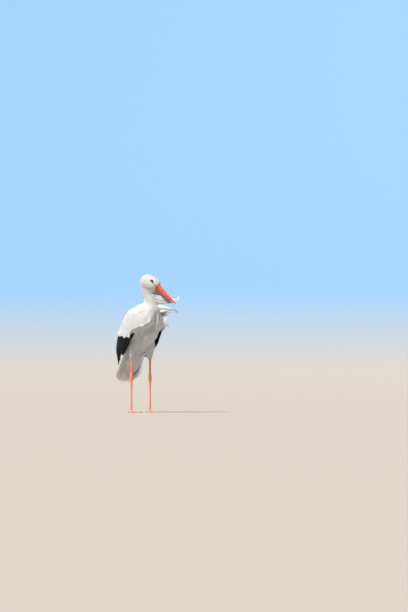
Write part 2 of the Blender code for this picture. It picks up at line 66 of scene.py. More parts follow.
def nothing_selected():
    """Operators act on all that is selected, so each piece starts from an empty selection."""
    if bpy.context.mode != "OBJECT":
        bpy.ops.object.mode_set(mode="OBJECT")
    bpy.ops.object.select_all(action="DESELECT")


def edit_mesh(obj, change):
    """Runs the change on the object's mesh as a bmesh."""
    bm = bmesh.new()
    bm.from_mesh(obj.data)
    change(bm)
    bm.to_mesh(obj.data)
    bm.free()


def new_material(name, colour, roughness):
    """A Principled material, with its shader and its node tree."""
    made = bpy.data.materials.new(name)
    made.use_nodes = True
    shader = made.node_tree.nodes["Principled BSDF"]
    shader.inputs["Base Color"].default_value = (*colour, 1.0)
    shader.inputs["Roughness"].default_value = roughness
    return made, shader, made.node_tree


def mix_colours(tree, share, first, second):
    """A colour mix; the share and both colours are sockets or plain values."""
    node = tree.nodes.new("ShaderNodeMix")
    node.data_type = "RGBA"
    for label, value in (("Factor", share), ("A", first), ("B", second)):
        socket = next(entry for entry in node.inputs if entry.name == label and entry.enabled)
        if isinstance(value, (int, float)):
            socket.default_value = value
        elif isinstance(value, tuple):
            socket.default_value = (*value, 1.0)
        else:
            tree.links.new(value, socket)
    return next(entry for entry in node.outputs if entry.enabled)


nothing_selected()
bpy.ops.mesh.primitive_grid_add(x_subdivisions=SHEET_CELLS, y_subdivisions=SHEET_CELLS, size=SHEET_SIZE)
dish = bpy.context.object
dish.name = "studio_dish"


def sweep_up(bm):
    """Raises the sheet round the level floor, more steeply the farther out."""
    for vertex in bm.verts:
        beyond = max(vertex.co.xy.length - FLOOR_RADIUS, 0.0)
        vertex.co.z = WALL_SWEEP * beyond**2


edit_mesh(dish, sweep_up)
dish.data.shade_smooth()
studio_paint, shader, tree = new_material("studio_paint", FLOOR_TONE, 0.9)
place = tree.nodes.new("ShaderNodeTexCoord")
split = tree.nodes.new("ShaderNodeSeparateXYZ")
rise = tree.nodes.new("ShaderNodeMapRange")
rise.interpolation_type = "SMOOTHSTEP"
rise.inputs["From Max"].default_value = WALL_TONE_HEIGHT
tree.links.new(place.outputs["Object"], split.inputs["Vector"])
tree.links.new(split.outputs["Z"], rise.inputs["Value"])
tree.links.new(mix_colours(tree, rise.outputs["Result"], FLOOR_TONE, WALL_TONE), shader.inputs["Base Color"])
dish.data.materials.append(studio_paint)


# ---- Light and camera -------------------------------------------------------------------------
# A soft key comes from high to the left of the camera, a weak fill from its right and a rim from
# behind, and the air of the studio gives the rest. The camera stands low, before the bird's right
# shoulder.

VIEW_TURN = math.radians(-40.0)
VIEW_RIGHT = Vector((math.cos(VIEW_TURN), math.sin(VIEW_TURN), 0.0))
VIEW_BACK = Vector((math.sin(VIEW_TURN), -math.cos(VIEW_TURN), 0.0))
UP = Vector((0.0, 0.0, 1.0))
CAMERA_DISTANCE = 12.0
CAMERA_HEIGHT = 0.15
AIM_RIGHT = 0.3516
AIM_HEIGHT = 0.639
LENS = 117.6
SENSOR_WIDTH = 36.0
CAMERA_SEES = 200.0


def add_object(name, data):
    """An object that holds this data, linked to the scene."""
    made = bpy.data.objects.new(name, data)
    bpy.context.scene.collection.objects.link(made)
    return made


def face_along(obj, way):
    """Turns a lamp or camera to look this way, level with the floor."""
    obj.rotation_mode = "QUATERNION"
    obj.rotation_quaternion = way.to_track_quat("-Z", "Y")


def add_sun(name, toward, strength, softness, colour):
    """Light from this direction that is the same over the whole studio."""
    lamp = bpy.data.lights.new(name, "SUN")
    lamp.energy = strength
    lamp.angle = math.radians(softness)
    lamp.color = colour
    face_along(add_object(name, lamp), -toward)


add_sun("key", -VIEW_RIGHT * 0.62 + UP * 1.15 + VIEW_BACK * 0.58, 5.1, 8.0, (1.0, 0.97, 0.93))
add_sun("fill", VIEW_RIGHT * 0.5 + UP * 0.1 + VIEW_BACK * 1.0, 0.22, 60.0, (1.0, 0.83, 0.68))
add_sun("rim", VIEW_RIGHT * 0.8 + UP * 0.7 - VIEW_BACK * 0.9, 0.45, 40.0, (1.0, 0.98, 0.95))

world = bpy.data.worlds.new("studio_air")
bpy.context.scene.world = world
world.use_nodes = True
world.node_tree.nodes["Background"].inputs["Color"].default_value = (1.0, 0.91, 0.82, 1.0)
world.node_tree.nodes["Background"].inputs["Strength"].default_value = 0.28

camera_data = bpy.data.cameras.new("camera")
camera_data.lens = LENS
camera_data.sensor_width = SENSOR_WIDTH
camera_data.clip_end = CAMERA_SEES
camera = add_object("camera", camera_data)
aim = VIEW_RIGHT * AIM_RIGHT + UP * AIM_HEIGHT
camera.location = VIEW_RIGHT * AIM_RIGHT + VIEW_BACK * CAMERA_DISTANCE + UP * CAMERA_HEIGHT
face_along(camera, aim - camera.location)
bpy.context.scene.camera = camera
bpy.context.scene.view_settings.view_transform = "Standard"
bpy.context.scene.view_settings.look = "None"


# ---- Skin -------------------------------------------------------------------------------------
# One closed skin over head, neck, trunk, thighs, undertail and the fleshy fore part of the wings.
# It is the flesh of the solids grown together, and lies inside them by the depth of the coat.

SKIN_CELL = 0.0036
SKIN_GROW = 0.0008
SKIN_SMOOTHING = 10
MERGE_REACH = 0.00002
NODE_REACH = 0.03
# The crease between the neck and the wings: how far its filling reaches and from which height up.
CREASE_REACH = 0.135
CREASE_ABOVE_AXIS = 0.020
CREASE_FLOOR = 0.575
CREASE_ROUNDS = 30
# The fold over the breast: places along the axis, and the angle that it runs down to at each.
FOLD_OVER_BREAST = ((-0.030, 0.015, 0.016), (184.0, 157.0, 0.0))
# Where the wings' outlines are taken: the lowest and highest value, and how many between them.
ANGLE_BINS = (0.0, 150.0, 26)
AXIS_BINS = (-0.02, 0.42, 23)
SAMPLES = 30000
WING_NODES = ("coverts", "secondaries", "primaries")
BODY_PITCH = math.radians(60.0)
ALONG = Vector((0.0, math.cos(BODY_PITCH), -math.sin(BODY_PITCH)))
BACKWARD = Vector((0.0, math.sin(BODY_PITCH), math.cos(BODY_PITCH)))
AXIS_START = Vector((-0.0048, -0.0450, 0.6300))
SIDES = (("left", 1), ("right", -1))
# Each node of flesh: the depth of coat over it and the way its feathers lie.
FLESH = {
    "head": (0.0016, (0.0, 0.6, -0.8)),
    "neck_upper": (0.0040, (0.0, 0.15, -1.0)),
    "neck_middle": (0.0050, (0.0, 0.05, -1.0)),
    "neck_lower": (0.0068, (0.0, 0.05, -1.0)),
    "trunk": (0.0080, tuple(ALONG)),
    "thigh_left": (0.0035, (0.0, 0.05, -1.0)),
    "thigh_right": (0.0035, (0.0, 0.05, -1.0)),
    "undertail_coverts": (0.0060, (0.0, 0.32, -0.95)),
    "wing_left_coverts": (0.0050, tuple(ALONG)),
    "wing_right_coverts": (0.0050, tuple(ALONG)),
}


def values_of(items, name, width=1, kind=float):
    """What each of a mesh's items holds under this name, as an array."""
    values = np.empty(len(items) * width, kind)
    items.foreach_get(name, values)
    return values.reshape(-1, width) if width > 1 else values


def points_of(mesh):
    """The place of each point."""
    return values_of(mesh.vertices, "co", 3)


def normals_of(mesh):
    """The normal of each point."""
    return values_of(mesh.vertices, "normal", 3)


def unit(rows):
    """The rows at length one."""
    return rows / np.maximum(np.linalg.norm(rows, axis=-1, keepdims=True), 1e-9)


def solid_of(name):
    """A joined-up copy of a node's mesh as a bmesh."""
    bm = bmesh.new()
    bm.from_mesh(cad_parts[name].data)
    bmesh.ops.remove_doubles(bm, verts=bm.verts, dist=MERGE_REACH)
    bm.normal_update()
    return bm


def tree_of(name):
    """A tree to find the nearest place on a node's solid in."""
    bm = solid_of(name)
    tree = BVHTree.FromBMesh(bm)
    bm.free()
    return tree


def place_on_axis(points):
    """How far down the body axis, at which angle round it from mid-back, and how far off it."""
    from_start = points - np.array(AXIS_START)
    down = from_start @ np.array(ALONG)
    behind = from_start @ np.array(BACKWARD)
    aside = from_start[..., 0]
    return down, np.degrees(np.arctan2(np.abs(aside), behind)), np.hypot(behind, aside)


def fade(values, start, span):
    """Each value's share of the way from the start over this span, held between 0 and 1."""
    return np.clip((values - start) / span, 0, 1)


def eased(share):
    """The share with a gentle start and end."""
    return share * share * (3 - 2 * share)


def areas_of(corners):
    """The area of each triangle with these corners."""
    return np.linalg.norm(np.cross(corners[:, 1] - corners[:, 0], corners[:, 2] - corners[:, 0]), axis=1) / 2


def random_places(rng, corners, count):
    """This many random places on the triangles with these corners, and the triangle of each."""
    first, second = corners[:, 1] - corners[:, 0], corners[:, 2] - corners[:, 0]
    areas = areas_of(corners)
    picks = rng.choice(len(corners), count, p=areas / areas.sum())
    along, across = rng.random(count), rng.random(count)
    over = along + across > 1
    along[over], across[over] = 1 - along[over], 1 - across[over]
    return corners[picks, 0] + first[picks] * along[:, None] + second[picks] * across[:, None], picks


def samples_of(name, seed):
    """Random points all over a node's surface."""
    bm = solid_of(name)
    bmesh.ops.triangulate(bm, faces=bm.faces)
    corners = np.array([[tuple(vertex.co) for vertex in face.verts] for face in bm.faces])
    bm.free()
    return random_places(np.random.default_rng(seed), corners, SAMPLES)[0]


def highest_by(values, keys, low, high, bins):
    """The highest value in each bin of the keys, as rows to interpolate in."""
    centres = np.linspace(low, high, bins)
    width = (high - low) / (bins - 1)
    rows = [(centre, values[np.abs(keys - centre) < width].max())
            for centre in centres if (np.abs(keys - centre) < width).any()]
    return np.array(rows).T


# How far along the axis each part of a wing reaches at each angle, and the angle of its lower edge.
wing_reach = {}
wing_low_edge = {}
whole_low_edge = {}
for side_name, side in SIDES:
    everything = []
    for part in WING_NODES:
        down, angle, _ = place_on_axis(samples_of("wing_%s_%s" % (side_name, part), 5))
        wing_reach[side_name, part] = highest_by(down, angle, *ANGLE_BINS)
        wing_low_edge[side_name, part] = highest_by(angle, down, *AXIS_BINS)
        everything.append((down, angle))
    down, angle = (np.concatenate(values) for values in zip(*everything))
    whole_low_edge[side_name] = highest_by(angle, down, *AXIS_BINS)


def select_only(obj):
    """Makes this the one selected and active object."""
    nothing_selected()
    obj.select_set(True)
    bpy.context.view_layer.objects.active = obj


def apply_modifier(obj, name, kind, **settings):
    """Gives the active object a modifier with these settings and applies it."""
    modifier = obj.modifiers.new(name, kind)
    for setting, value in settings.items():
        setattr(modifier, setting, value)
    bpy.ops.object.modifier_apply(modifier=modifier.name)


def largest_only(bm):
    """Drops the small closed hollows that lie between the solids."""
    bm.verts.ensure_lookup_table()
    left = set(bm.verts)
    groups = []
    while left:
        group = {left.pop()}
        front = list(group)
        while front:
            vertex = front.pop()
            near = {edge.other_vert(vertex) for edge in vertex.link_edges} & left
            left -= near
            group |= near
            front += near
        groups.append(group)
    groups.sort(key=len, reverse=True)
    crumbs = [vertex for group in groups[1:] for vertex in group]
    bmesh.ops.delete(bm, geom=crumbs, context="VERTS")


def grown_together(name, nodes, grow, cell, smoothing):
    """One closed skin over the solids of these nodes, each grown by a little so that they join."""
    joined = bmesh.new()
    for node in nodes:
        part = solid_of(node)
        moves = [vertex.normal * grow for vertex in part.verts]
        for vertex, move in zip(part.verts, moves):
            vertex.co += move
        part_mesh = bpy.data.meshes.new("part")
        part.to_mesh(part_mesh)
        part.free()
        joined.from_mesh(part_mesh)
        bpy.data.meshes.remove(part_mesh)
    mesh = bpy.data.meshes.new(name)
    joined.to_mesh(mesh)
    joined.free()
    made = add_object(name, mesh)
    select_only(made)
    apply_modifier(made, "grow_together", "REMESH", mode="VOXEL", voxel_size=cell)
    apply_modifier(made, "soften", "SMOOTH", factor=0.5, iterations=smoothing)
    edit_mesh(made, largest_only)
    return made


skin = grown_together("skin", FLESH, SKIN_GROW, SKIN_CELL, SKIN_SMOOTHING)
node_trees = {name: tree_of(name) for name in FLESH}
node_names = list(FLESH)


def nearest_nodes(points):
    """For each point, the number of the node of flesh that it lies nearest to."""
    best = np.full(len(points), np.inf)
    found = np.zeros(len(points), int)
    for number, name in enumerate(node_names):
        low, high = (np.array(corner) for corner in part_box(name))
        outside = np.maximum(np.maximum(low - points, points - high), 0.0)
        may = np.flatnonzero(np.linalg.norm(outside, axis=1) < np.minimum(best, NODE_REACH))
        for index in may:
            distance = node_trees[name].find_nearest(Vector(points[index]))[3]
            if distance < best[index]:
                best[index] = distance
                found[index] = number
    return found


def on_node(numbers, name):
    """Which of these numbers of nodes are this node's."""
    return numbers == node_names.index(name)


def spread_out(values, pairs, rounds):
    """The values after each vertex has taken its neighbours' mean this many times."""
    count = np.bincount(pairs.ravel(), minlength=len(values))[:, None]
    for _ in range(rounds):
        total = np.zeros_like(values)
        for column in range(values.shape[1]):
            first, second = values[pairs[:, 0], column], values[pairs[:, 1], column]
            total[:, column] = np.bincount(pairs[:, 0], second, len(values))
            total[:, column] += np.bincount(pairs[:, 1], first, len(values))
        values = 0.5 * values + 0.5 * total / np.maximum(count, 1)
    return values


skin.data.calc_loop_triangles()
skin_points = points_of(skin.data)
skin_faces = values_of(skin.data.loop_triangles, "vertices", 3, np.int32)
skin_pairs = values_of(skin.data.edges, "vertices", 2, np.int32)
skin_node = nearest_nodes(skin_points)
depth = np.array([FLESH[name][0] for name in node_names])[skin_node][:, None]
depth = spread_out(depth, skin_pairs, 6)


def under_wing(points, side_name, side, deepest, fade_start, fade_end, window_start):
    """How much the trunk draws in below the lower edge of this wing."""
    down, angle, off = place_on_axis(points)
    edge = np.maximum(np.interp(down, *whole_low_edge[side_name]), np.interp(down, *FOLD_OVER_BREAST))
    below = np.radians(angle - edge) * off
    window = fade(down, window_start, 0.05) * fade(-down, -0.40, 0.08)
    own = (points[:, 0] - AXIS_START.x) * side > 0
    fall = eased(fade(-below, -fade_end, fade_end - fade_start))
    return deepest * own * window * fade(below, -0.004, 0.014) * fall


hollow = under_wing(skin_points, "left", 1, 0.015, 0.070, 0.125, 0.02)
hollow += under_wing(skin_points, "right", -1, 0.024, 0.030, 0.100, -0.02)
hollow *= on_node(skin_node, "trunk")
hollow = spread_out(hollow[:, None], skin_pairs, 8)
skin_points = skin_points - normals_of(skin.data) * (depth + hollow + SKIN_GROW)

# The crease where the neck stands between the wings is filled, as the feathers there fill it.
crease = np.array(AXIS_START + UP * CREASE_ABOVE_AXIS)
from_crease = np.linalg.norm(skin_points - crease, axis=1)
fill = fade(-from_crease, -CREASE_REACH, 0.035) * fade(skin_points[:, 2], CREASE_FLOOR, 0.03)
fill *= fade((skin_points - np.array(AXIS_START)) @ np.array(BACKWARD), -0.03, 0.04)
filled = spread_out(skin_points, skin_pairs, CREASE_ROUNDS)
skin_points = skin_points + (filled - skin_points) * fill[:, None]
skin.data.vertices.foreach_set("co", skin_points.ravel())
skin.data.update()

HEAD_CENTRE = Vector((-0.0048, -0.0520, 0.7700))
HEAD_TURN = math.radians(19.0)
HEAD_PITCH = math.radians(27.0)
FLOW_SMOOTHING = 30
LORE_AHEAD = 0.058
LORE_UP = 0.0080
EYE_CORNER = 0.0010
BARE_RADIUS = 0.0070
BARE_FROM_MIDDLE = 0.007
LORE_RADIUS = 0.0017
FACE_FLOW_FROM = (0.060, 0.010, 0.0)
SLOPE_REACH = 0.03
ISLAND_ANGLE = math.radians(66.0)


def in_head(ahead, up, out, pitch=HEAD_PITCH):
    """The point this far ahead of, above and to the left of the head's centre."""
    level = Vector((out, -ahead * math.cos(pitch) - up * math.sin(pitch), 0.0))
    level.z = -ahead * math.sin(pitch) + up * math.cos(pitch)
    return HEAD_CENTRE + Matrix.Rotation(HEAD_TURN, 3, "Z") @ level


def segment_distance(points, start, end):
    """How far each point lies from the segment, and how far along it, from 0 to 1."""
    start, end = np.array(start), np.array(end)
    run = end - start
    share = np.clip((points - start) @ run / (run @ run), 0.0, 1.0)
    return np.linalg.norm(points - start - share[:, None] * run, axis=1), share


def head_shares(points):
    """How far each point lies ahead of, above and to the left of the head's centre."""
    level = (np.asarray(points) - np.array(HEAD_CENTRE)) @ np.array(Matrix.Rotation(HEAD_TURN, 3, "Z"))
    ahead = -level[:, 1] * math.cos(HEAD_PITCH) - level[:, 2] * math.sin(HEAD_PITCH)
    up = -level[:, 1] * math.sin(HEAD_PITCH) + level[:, 2] * math.cos(HEAD_PITCH)
    return ahead, up, level[:, 0]


def bareness(points):
    """From 0 on feathered skin to 1 on the dark bare skin round the eyes and along the lores."""
    ahead, up, out = head_shares(points)
    bare = np.zeros(len(points))
    for side_name, side in SIDES:
        low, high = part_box("eye_" + side_name)
        eye_ahead, eye_up, _ = (float(row[0]) for row in head_shares([tuple((low + high) / 2)]))
        flat = np.stack([ahead, up, 0 * up], axis=1)
        start = (eye_ahead - EYE_CORNER, eye_up, 0.0)
        distance, share = segment_distance(flat, start, (LORE_AHEAD, LORE_UP, 0.0))
        reach = LORE_RADIUS + (BARE_RADIUS - LORE_RADIUS) * np.clip(1.0 - (share / 0.42) ** 2, 0.0, 1.0)
        here = np.clip((reach - distance) / 0.0010 + 0.5, 0.0, 1.0)
        bare = np.maximum(bare, here * (out * side > BARE_FROM_MIDDLE))
    return bare


skin_normals = normals_of(skin.data)
skin_bare = bareness(skin_points)
flow = np.array([FLESH[name][1] for name in node_names])[skin_node]
from_bill = unit(skin_points - np.array(in_head(*FACE_FLOW_FROM)))
on_head = on_node(skin_node, "head")
flow[on_head] = from_bill[on_head]

# The wing feathers run with the wing's lower edge where they are near it, and with the back on top.
for side_name, side in SIDES:
    on_wing = on_node(skin_node, "wing_%s_coverts" % side_name)
    down, angle, off = place_on_axis(skin_points[on_wing])
    edge = np.interp(down, *wing_low_edge[side_name, "coverts"])
    ahead = np.interp(down + SLOPE_REACH, *wing_low_edge[side_name, "coverts"])
    behind = np.interp(down - SLOPE_REACH, *wing_low_edge[side_name, "coverts"])
    slope = np.radians(ahead - behind) / (2 * SLOPE_REACH)
    turn = np.radians(angle)
    round_axis = np.outer(np.cos(turn), (side, 0.0, 0.0)) - np.outer(np.sin(turn), np.array(BACKWARD))
    lean = off * slope * np.clip(angle / edge, 0, 1.1)
    flow[on_wing] = np.array(ALONG) + round_axis * np.clip(lean, -1.0, 0.3)[:, None]
skin_flow = unit(spread_out(unit(flow), skin_pairs, FLOW_SMOOTHING))


def keep_value(mesh, name, values):
    """Keeps a value under this name on each point of the mesh, for a material to read."""
    made = mesh.attributes.new(name, "FLOAT", "POINT")
    made.data.foreach_set("value", np.ascontiguousarray(values, dtype=float))


keep_value(skin.data, "bare", skin_bare)
select_only(skin)
bpy.ops.object.mode_set(mode="EDIT")
bpy.ops.mesh.select_all(action="SELECT")
bpy.ops.uv.smart_project(angle_limit=ISLAND_ANGLE, island_margin=0.002)
bpy.ops.object.mode_set(mode="OBJECT")
skin.data.uv_layers[0].name = "OFBake"
skin.data.shade_smooth()

skin_tree = BVHTree.FromPolygons(skin_points.tolist(), skin_faces.tolist())
skin.data.calc_loop_triangles()
face_of_triangle = values_of(skin.data.loop_triangles, "polygon_index", kind=np.int32)
first_corner = values_of(skin.data.polygons, "loop_start", kind=np.int32)
skin_uv = values_of(skin.data.uv_layers["OFBake"].uv, "vector", 2)[first_corner][face_of_triangle]


# ---- Shader groups for all feathers -----------------------------------------------------------
# A feather is a flat vane of fine barbs that slope forward from a thin shaft. The groups give the
# relief of barbs and shaft, and the soft unevenness of tone over the whole bird.

FEATHER_TONE_SIZE = 11.0
BARB_DEPTH = 0.0006
GLOW_DEPTH = 0.004
DARK_SKIN = ((0.005, 0.004, 0.004), (0.020, 0.016, 0.015))


def new_group(name, inputs, outputs):
    """A shader group with value sockets; inputs come with their defaults."""
    group = bpy.data.node_groups.new(name, "ShaderNodeTree")
    for label, kind, default in inputs:
        made = group.interface.new_socket(label, in_out="INPUT", socket_type=kind)
        if default is not None:
            made.default_value = default
    for label, kind in outputs:
        group.interface.new_socket(label, in_out="OUTPUT", socket_type=kind)
    entry = group.nodes.new("NodeGroupInput")
    leave = group.nodes.new("NodeGroupOutput")
    return group, entry, leave


def math_node(tree, operation, first, second=None, clamp=False):
    """A maths node; each operand is a socket or a number."""
    node = tree.nodes.new("ShaderNodeMath")
    node.operation = operation
    node.use_clamp = clamp
    for index, value in enumerate((first, second)):
        if value is None:
            continue
        if isinstance(value, (int, float)):
            node.inputs[index].default_value = value
        else:
            tree.links.new(value, node.inputs[index])
    return node.outputs[0]


def scaled(tree, socket, factor):
    """The socket's value times this factor."""
    return math_node(tree, "MULTIPLY", socket, factor)


FLOAT = "NodeSocketFloat"
VECTOR = "NodeSocketVector"

barbs, entry, leave = new_group(
    "feather_barbs",
    (("Vane", VECTOR, None), ("Barbs", FLOAT, 60.0), ("Slope", FLOAT, 0.5)),
    (("Height", FLOAT), ("Shaft", FLOAT), ("Along", FLOAT)),
)
split = barbs.nodes.new("ShaderNodeSeparateXYZ")
barbs.links.new(entry.outputs["Vane"], split.inputs[0])
off_shaft = math_node(barbs, "ABSOLUTE", math_node(barbs, "SUBTRACT", split.outputs["X"], 0.5))
run = math_node(barbs, "SUBTRACT", split.outputs["Y"], scaled(barbs, off_shaft, entry.outputs["Slope"]))
wave = math_node(barbs, "SINE", scaled(barbs, run, entry.outputs["Barbs"]))
shaft = math_node(barbs, "SUBTRACT", 1.0, scaled(barbs, off_shaft, 22.0), clamp=True)
height = math_node(barbs, "ADD", scaled(barbs, wave, 0.5), scaled(barbs, shaft, 1.5))
barbs.links.new(height, leave.inputs["Height"])
barbs.links.new(shaft, leave.inputs["Shaft"])
barbs.links.new(split.outputs["Y"], leave.inputs["Along"])

mottle, entry, leave = new_group(
    "uneven_tone", (("Place", VECTOR, None), ("Size", FLOAT, 20.0)), (("Tone", FLOAT), ("Fine", FLOAT))
)
for label, factor, detail in (("Tone", 1.0, 3.0), ("Fine", 9.0, 2.0)):
    cloud = mottle.nodes.new("ShaderNodeTexNoise")
    cloud.inputs["Detail"].default_value = detail
    mottle.links.new(scaled(mottle, entry.outputs["Size"], factor), cloud.inputs["Scale"])
    mottle.links.new(entry.outputs["Place"], cloud.inputs["Vector"])
    mottle.links.new(cloud.outputs["Fac"], leave.inputs[label])


def uneven_tones(tree, size):
    """The uneven tone over the piece; a greater size gives smaller lumps."""
    place = tree.nodes.new("ShaderNodeTexCoord")
    tones = tree.nodes.new("ShaderNodeGroup")
    tones.node_tree = mottle
    tones.inputs["Size"].default_value = size
    tree.links.new(place.outputs["Object"], tones.inputs["Place"])
    return tones.outputs["Tone"], tones.outputs["Fine"]


def kept_value(tree, name):
    """The value that the piece's points keep under this name."""
    mark = tree.nodes.new("ShaderNodeAttribute")
    mark.attribute_name = name
    return mark.outputs["Fac"]


def add_relief(tree, shader, height, strength, distance):
    """Fine relief on the shader from a socket of heights."""
    bump = tree.nodes.new("ShaderNodeBump")
    bump.inputs["Strength"].default_value = strength
    bump.inputs["Distance"].default_value = distance
    tree.links.new(height, bump.inputs["Height"])
    tree.links.new(bump.outputs["Normal"], shader.inputs["Normal"])


def feather_material(name, lit, dull, root, roughness, barb_count, relief, sheen, glow, gloss):
    """A feather's finish: lit and dull tones, a root tone towards the skin, and barb relief."""
    made, shader, tree = new_material(name, lit, roughness)
    vane = tree.nodes.new("ShaderNodeUVMap")
    vane.uv_map = "Vane"
    lines = tree.nodes.new("ShaderNodeGroup")
    lines.node_tree = barbs
    lines.inputs["Barbs"].default_value = barb_count
    tree.links.new(vane.outputs["UV"], lines.inputs["Vane"])
    tone, _ = uneven_tones(tree, FEATHER_TONE_SIZE)
    patchy = scaled(tree, tone, 0.55)
    share = math_node(tree, "ADD", patchy, scaled(tree, kept_value(tree, "tint"), 0.30), clamp=True)
    colour = mix_colours(tree, share, lit, dull)
    near_root = math_node(tree, "SUBTRACT", 1.0, scaled(tree, lines.outputs["Along"], 2.2), clamp=True)
    colour = mix_colours(tree, scaled(tree, near_root, 0.6), colour, root)
    colour = mix_colours(tree, scaled(tree, lines.outputs["Shaft"], 0.25), colour, dull)
    tree.links.new(colour, shader.inputs["Base Color"])
    add_relief(tree, shader, lines.outputs["Height"], relief, BARB_DEPTH)
    shader.inputs["Sheen Weight"].default_value = sheen
    shader.inputs["Specular IOR Level"].default_value = gloss
    shader.inputs["Subsurface Weight"].default_value = glow
    shader.inputs["Subsurface Radius"].default_value = (1.0, 0.85, 0.70)
    shader.inputs["Subsurface Scale"].default_value = GLOW_DEPTH
    return made


white_feather = feather_material(
    "white_feather", (0.90, 0.875, 0.83), (0.80, 0.765, 0.70), (0.74, 0.69, 0.62),
    roughness=0.72, barb_count=150.0, relief=0.14, sheen=0.10, glow=0.60, gloss=0.25)
# The plumes' tones are a lighter copy of the white feather's, with a much lighter root: painted light where
# the bill and head shade them.
plume_feather_painted_light = feather_material(
    "plume_feather_painted_light", (0.95, 0.935, 0.905), (0.87, 0.845, 0.80), (0.90, 0.87, 0.82),
    roughness=0.75, barb_count=150.0, relief=0.15, sheen=0.15, glow=0.75, gloss=0.2)
black_feather = feather_material(
    "black_feather", (0.0035, 0.0035, 0.0045), (0.011, 0.010, 0.011), (0.008, 0.008, 0.008),
    roughness=0.50, barb_count=420.0, relief=0.4, sheen=0.0, glow=0.0, gloss=0.12)

skin_finish, shader, tree = new_material("downy_skin", (0.80, 0.76, 0.70), 0.8)
tone, fine = uneven_tones(tree, 40.0)
down_colour = mix_colours(tree, tone, (0.84, 0.80, 0.74), (0.68, 0.63, 0.56))
bare_colour = mix_colours(tree, fine, *DARK_SKIN)
colour = mix_colours(tree, kept_value(tree, "bare"), down_colour, bare_colour)
tree.links.new(colour, shader.inputs["Base Color"])
add_relief(tree, shader, fine, strength=0.5, distance=0.0005)


def dress(piece, finish, slot, *nodes):
    """Gives the piece its finish; it rides on the bird and stands for these nodes. The slot is not used."""
    piece.data.materials.clear()
    piece.data.materials.append(finish)
    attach(piece, "root")
    if nodes:
        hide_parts(*nodes)


dress(skin, skin_finish, "white_plumage", *FLESH)


# ---- Feather coat -----------------------------------------------------------------------------
# Each feather is a thin closed vane that starts in the skin and follows its surface tailwards,
# its tip resting on the roots of the next. Pieces hold the feathers of one stretch of the body.

PATCH = 0.003
VANE_DEPTH = 0.00030
VANE_TILT = 0.06
ROOT_SINK = -0.0006
TIP_SPACING = 1.4
LOCK_SIZE = 0.045
LOCK_TURN = 0.16
LOCK_PUFF = 0.22
BILL_ROOT = (0.056, 0.010, 0.0)
BILL_NEAR = 0.08
FACE_REACH = 0.050
BILL_CLEARANCE = 0.0004
TRIES_PER_PLACE = 5
# A midrib leaves the skin where a step ends farther off it than this share of the step, or where the
# cosine of the skin's turn is less than this.
LOOSE_DISTANCE = 0.55
LOOSE_TURN = 0.45
# A feather is kept when the cosines of its bends and twists, and its shortest step as a share of its
# longest, are more than this.
LEAST_BEND = 0.70
LEAST_STEP = 0.45
LEAST_TWIST = 0.60
# How a coat's feathers differ in length, width and stand-off.
LENGTHS_VARY = (0.86, 1.14)
WIDTHS_VARY = (0.85, 1.15)
STANDS_VARY = (0.93, 1.07)
# A vane swells over this share of its length, and its tip keeps this share of its width.
SWELL_SHARE = 0.30
TIP_WIDTH = 0.28
TUCK_FROM = 0.7


def smooth_values(points, size, seed):
    """Slow random values from -1 to 1 over space, with lumps of about this size."""
    rng = np.random.default_rng(seed)
    total = np.zeros(points.shape[:-1])
    for _ in range(7):
        wave = unit(rng.normal(size=3)) * 2 * math.pi / (size * rng.uniform(0.7, 1.6))
        total += np.sin(points @ wave + rng.uniform(0, 2 * math.pi))
    return total / 3.5


def scatter(chosen, gap, seed):
    """Places on the chosen skin triangles, none nearer to another than the gap, with their triangles."""
    rng = np.random.default_rng(seed)
    triangles = np.flatnonzero(chosen)
    corners = skin_points[skin_faces[triangles]]
    tries = int(areas_of(corners).sum() / gap**2 * TRIES_PER_PLACE)
    places, picks = random_places(rng, corners, tries)
    cells = np.floor(places / gap).astype(int)
    taken = {}
    kept = []
    around = [(x, y, z) for x in (-1, 0, 1) for y in (-1, 0, 1) for z in (-1, 0, 1)]
    for index, (cell, point) in enumerate(zip(map(tuple, cells.tolist()), places.tolist())):
        cells_near = ((cell[0] + x, cell[1] + y, cell[2] + z) for x, y, z in around)
        near = (other for cell_near in cells_near for other in taken.get(cell_near, ()))
        if all(math.dist(other, point) >= gap for other in near):
            taken.setdefault(cell, []).append(point)
            kept.append(index)
    return places[kept], triangles[picks[kept]]


def lay(roots, triangles, lengths, stations, yaw):
    """Midribs from the roots along the flow of the coat: places and outward normals of each.

    Where the skin turns away too fast, the rest of the midrib runs straight on.
    """
    count = len(roots)
    places = np.empty((count, stations, 3))
    normals = np.empty((count, stations, 3))
    point = roots.copy()
    normal = unit(skin_normals[skin_faces[triangles]].mean(axis=1))
    heading = skin_flow[skin_faces[triangles]].mean(axis=1)
    loose = np.zeros(count, bool)
    step = lengths / (stations - 1)
    for station in range(stations):
        places[:, station] = point
        normals[:, station] = normal
        flat = unit(heading - (heading * normal).sum(axis=1, keepdims=True) * normal)
        sideways = np.cross(flat, normal)
        turned = unit(flat + sideways * yaw[:, None])
        ahead = point + turned * step[:, None]
        for index in range(count):
            if loose[index]:
                point[index] = ahead[index]
                continue
            spot, _, face, distance = skin_tree.find_nearest(Vector(ahead[index]))
            there = skin_normals[skin_faces[face]].mean(axis=0)
            there /= np.linalg.norm(there)
            if distance > LOOSE_DISTANCE * step[index] or there @ normal[index] < LOOSE_TURN:
                loose[index] = True
                heading[index] = turned[index]
                point[index] = ahead[index]
                continue
            point[index] = spot
            normal[index] = there
            heading[index] = skin_flow[skin_faces[face]].mean(axis=0)
    return places, normals


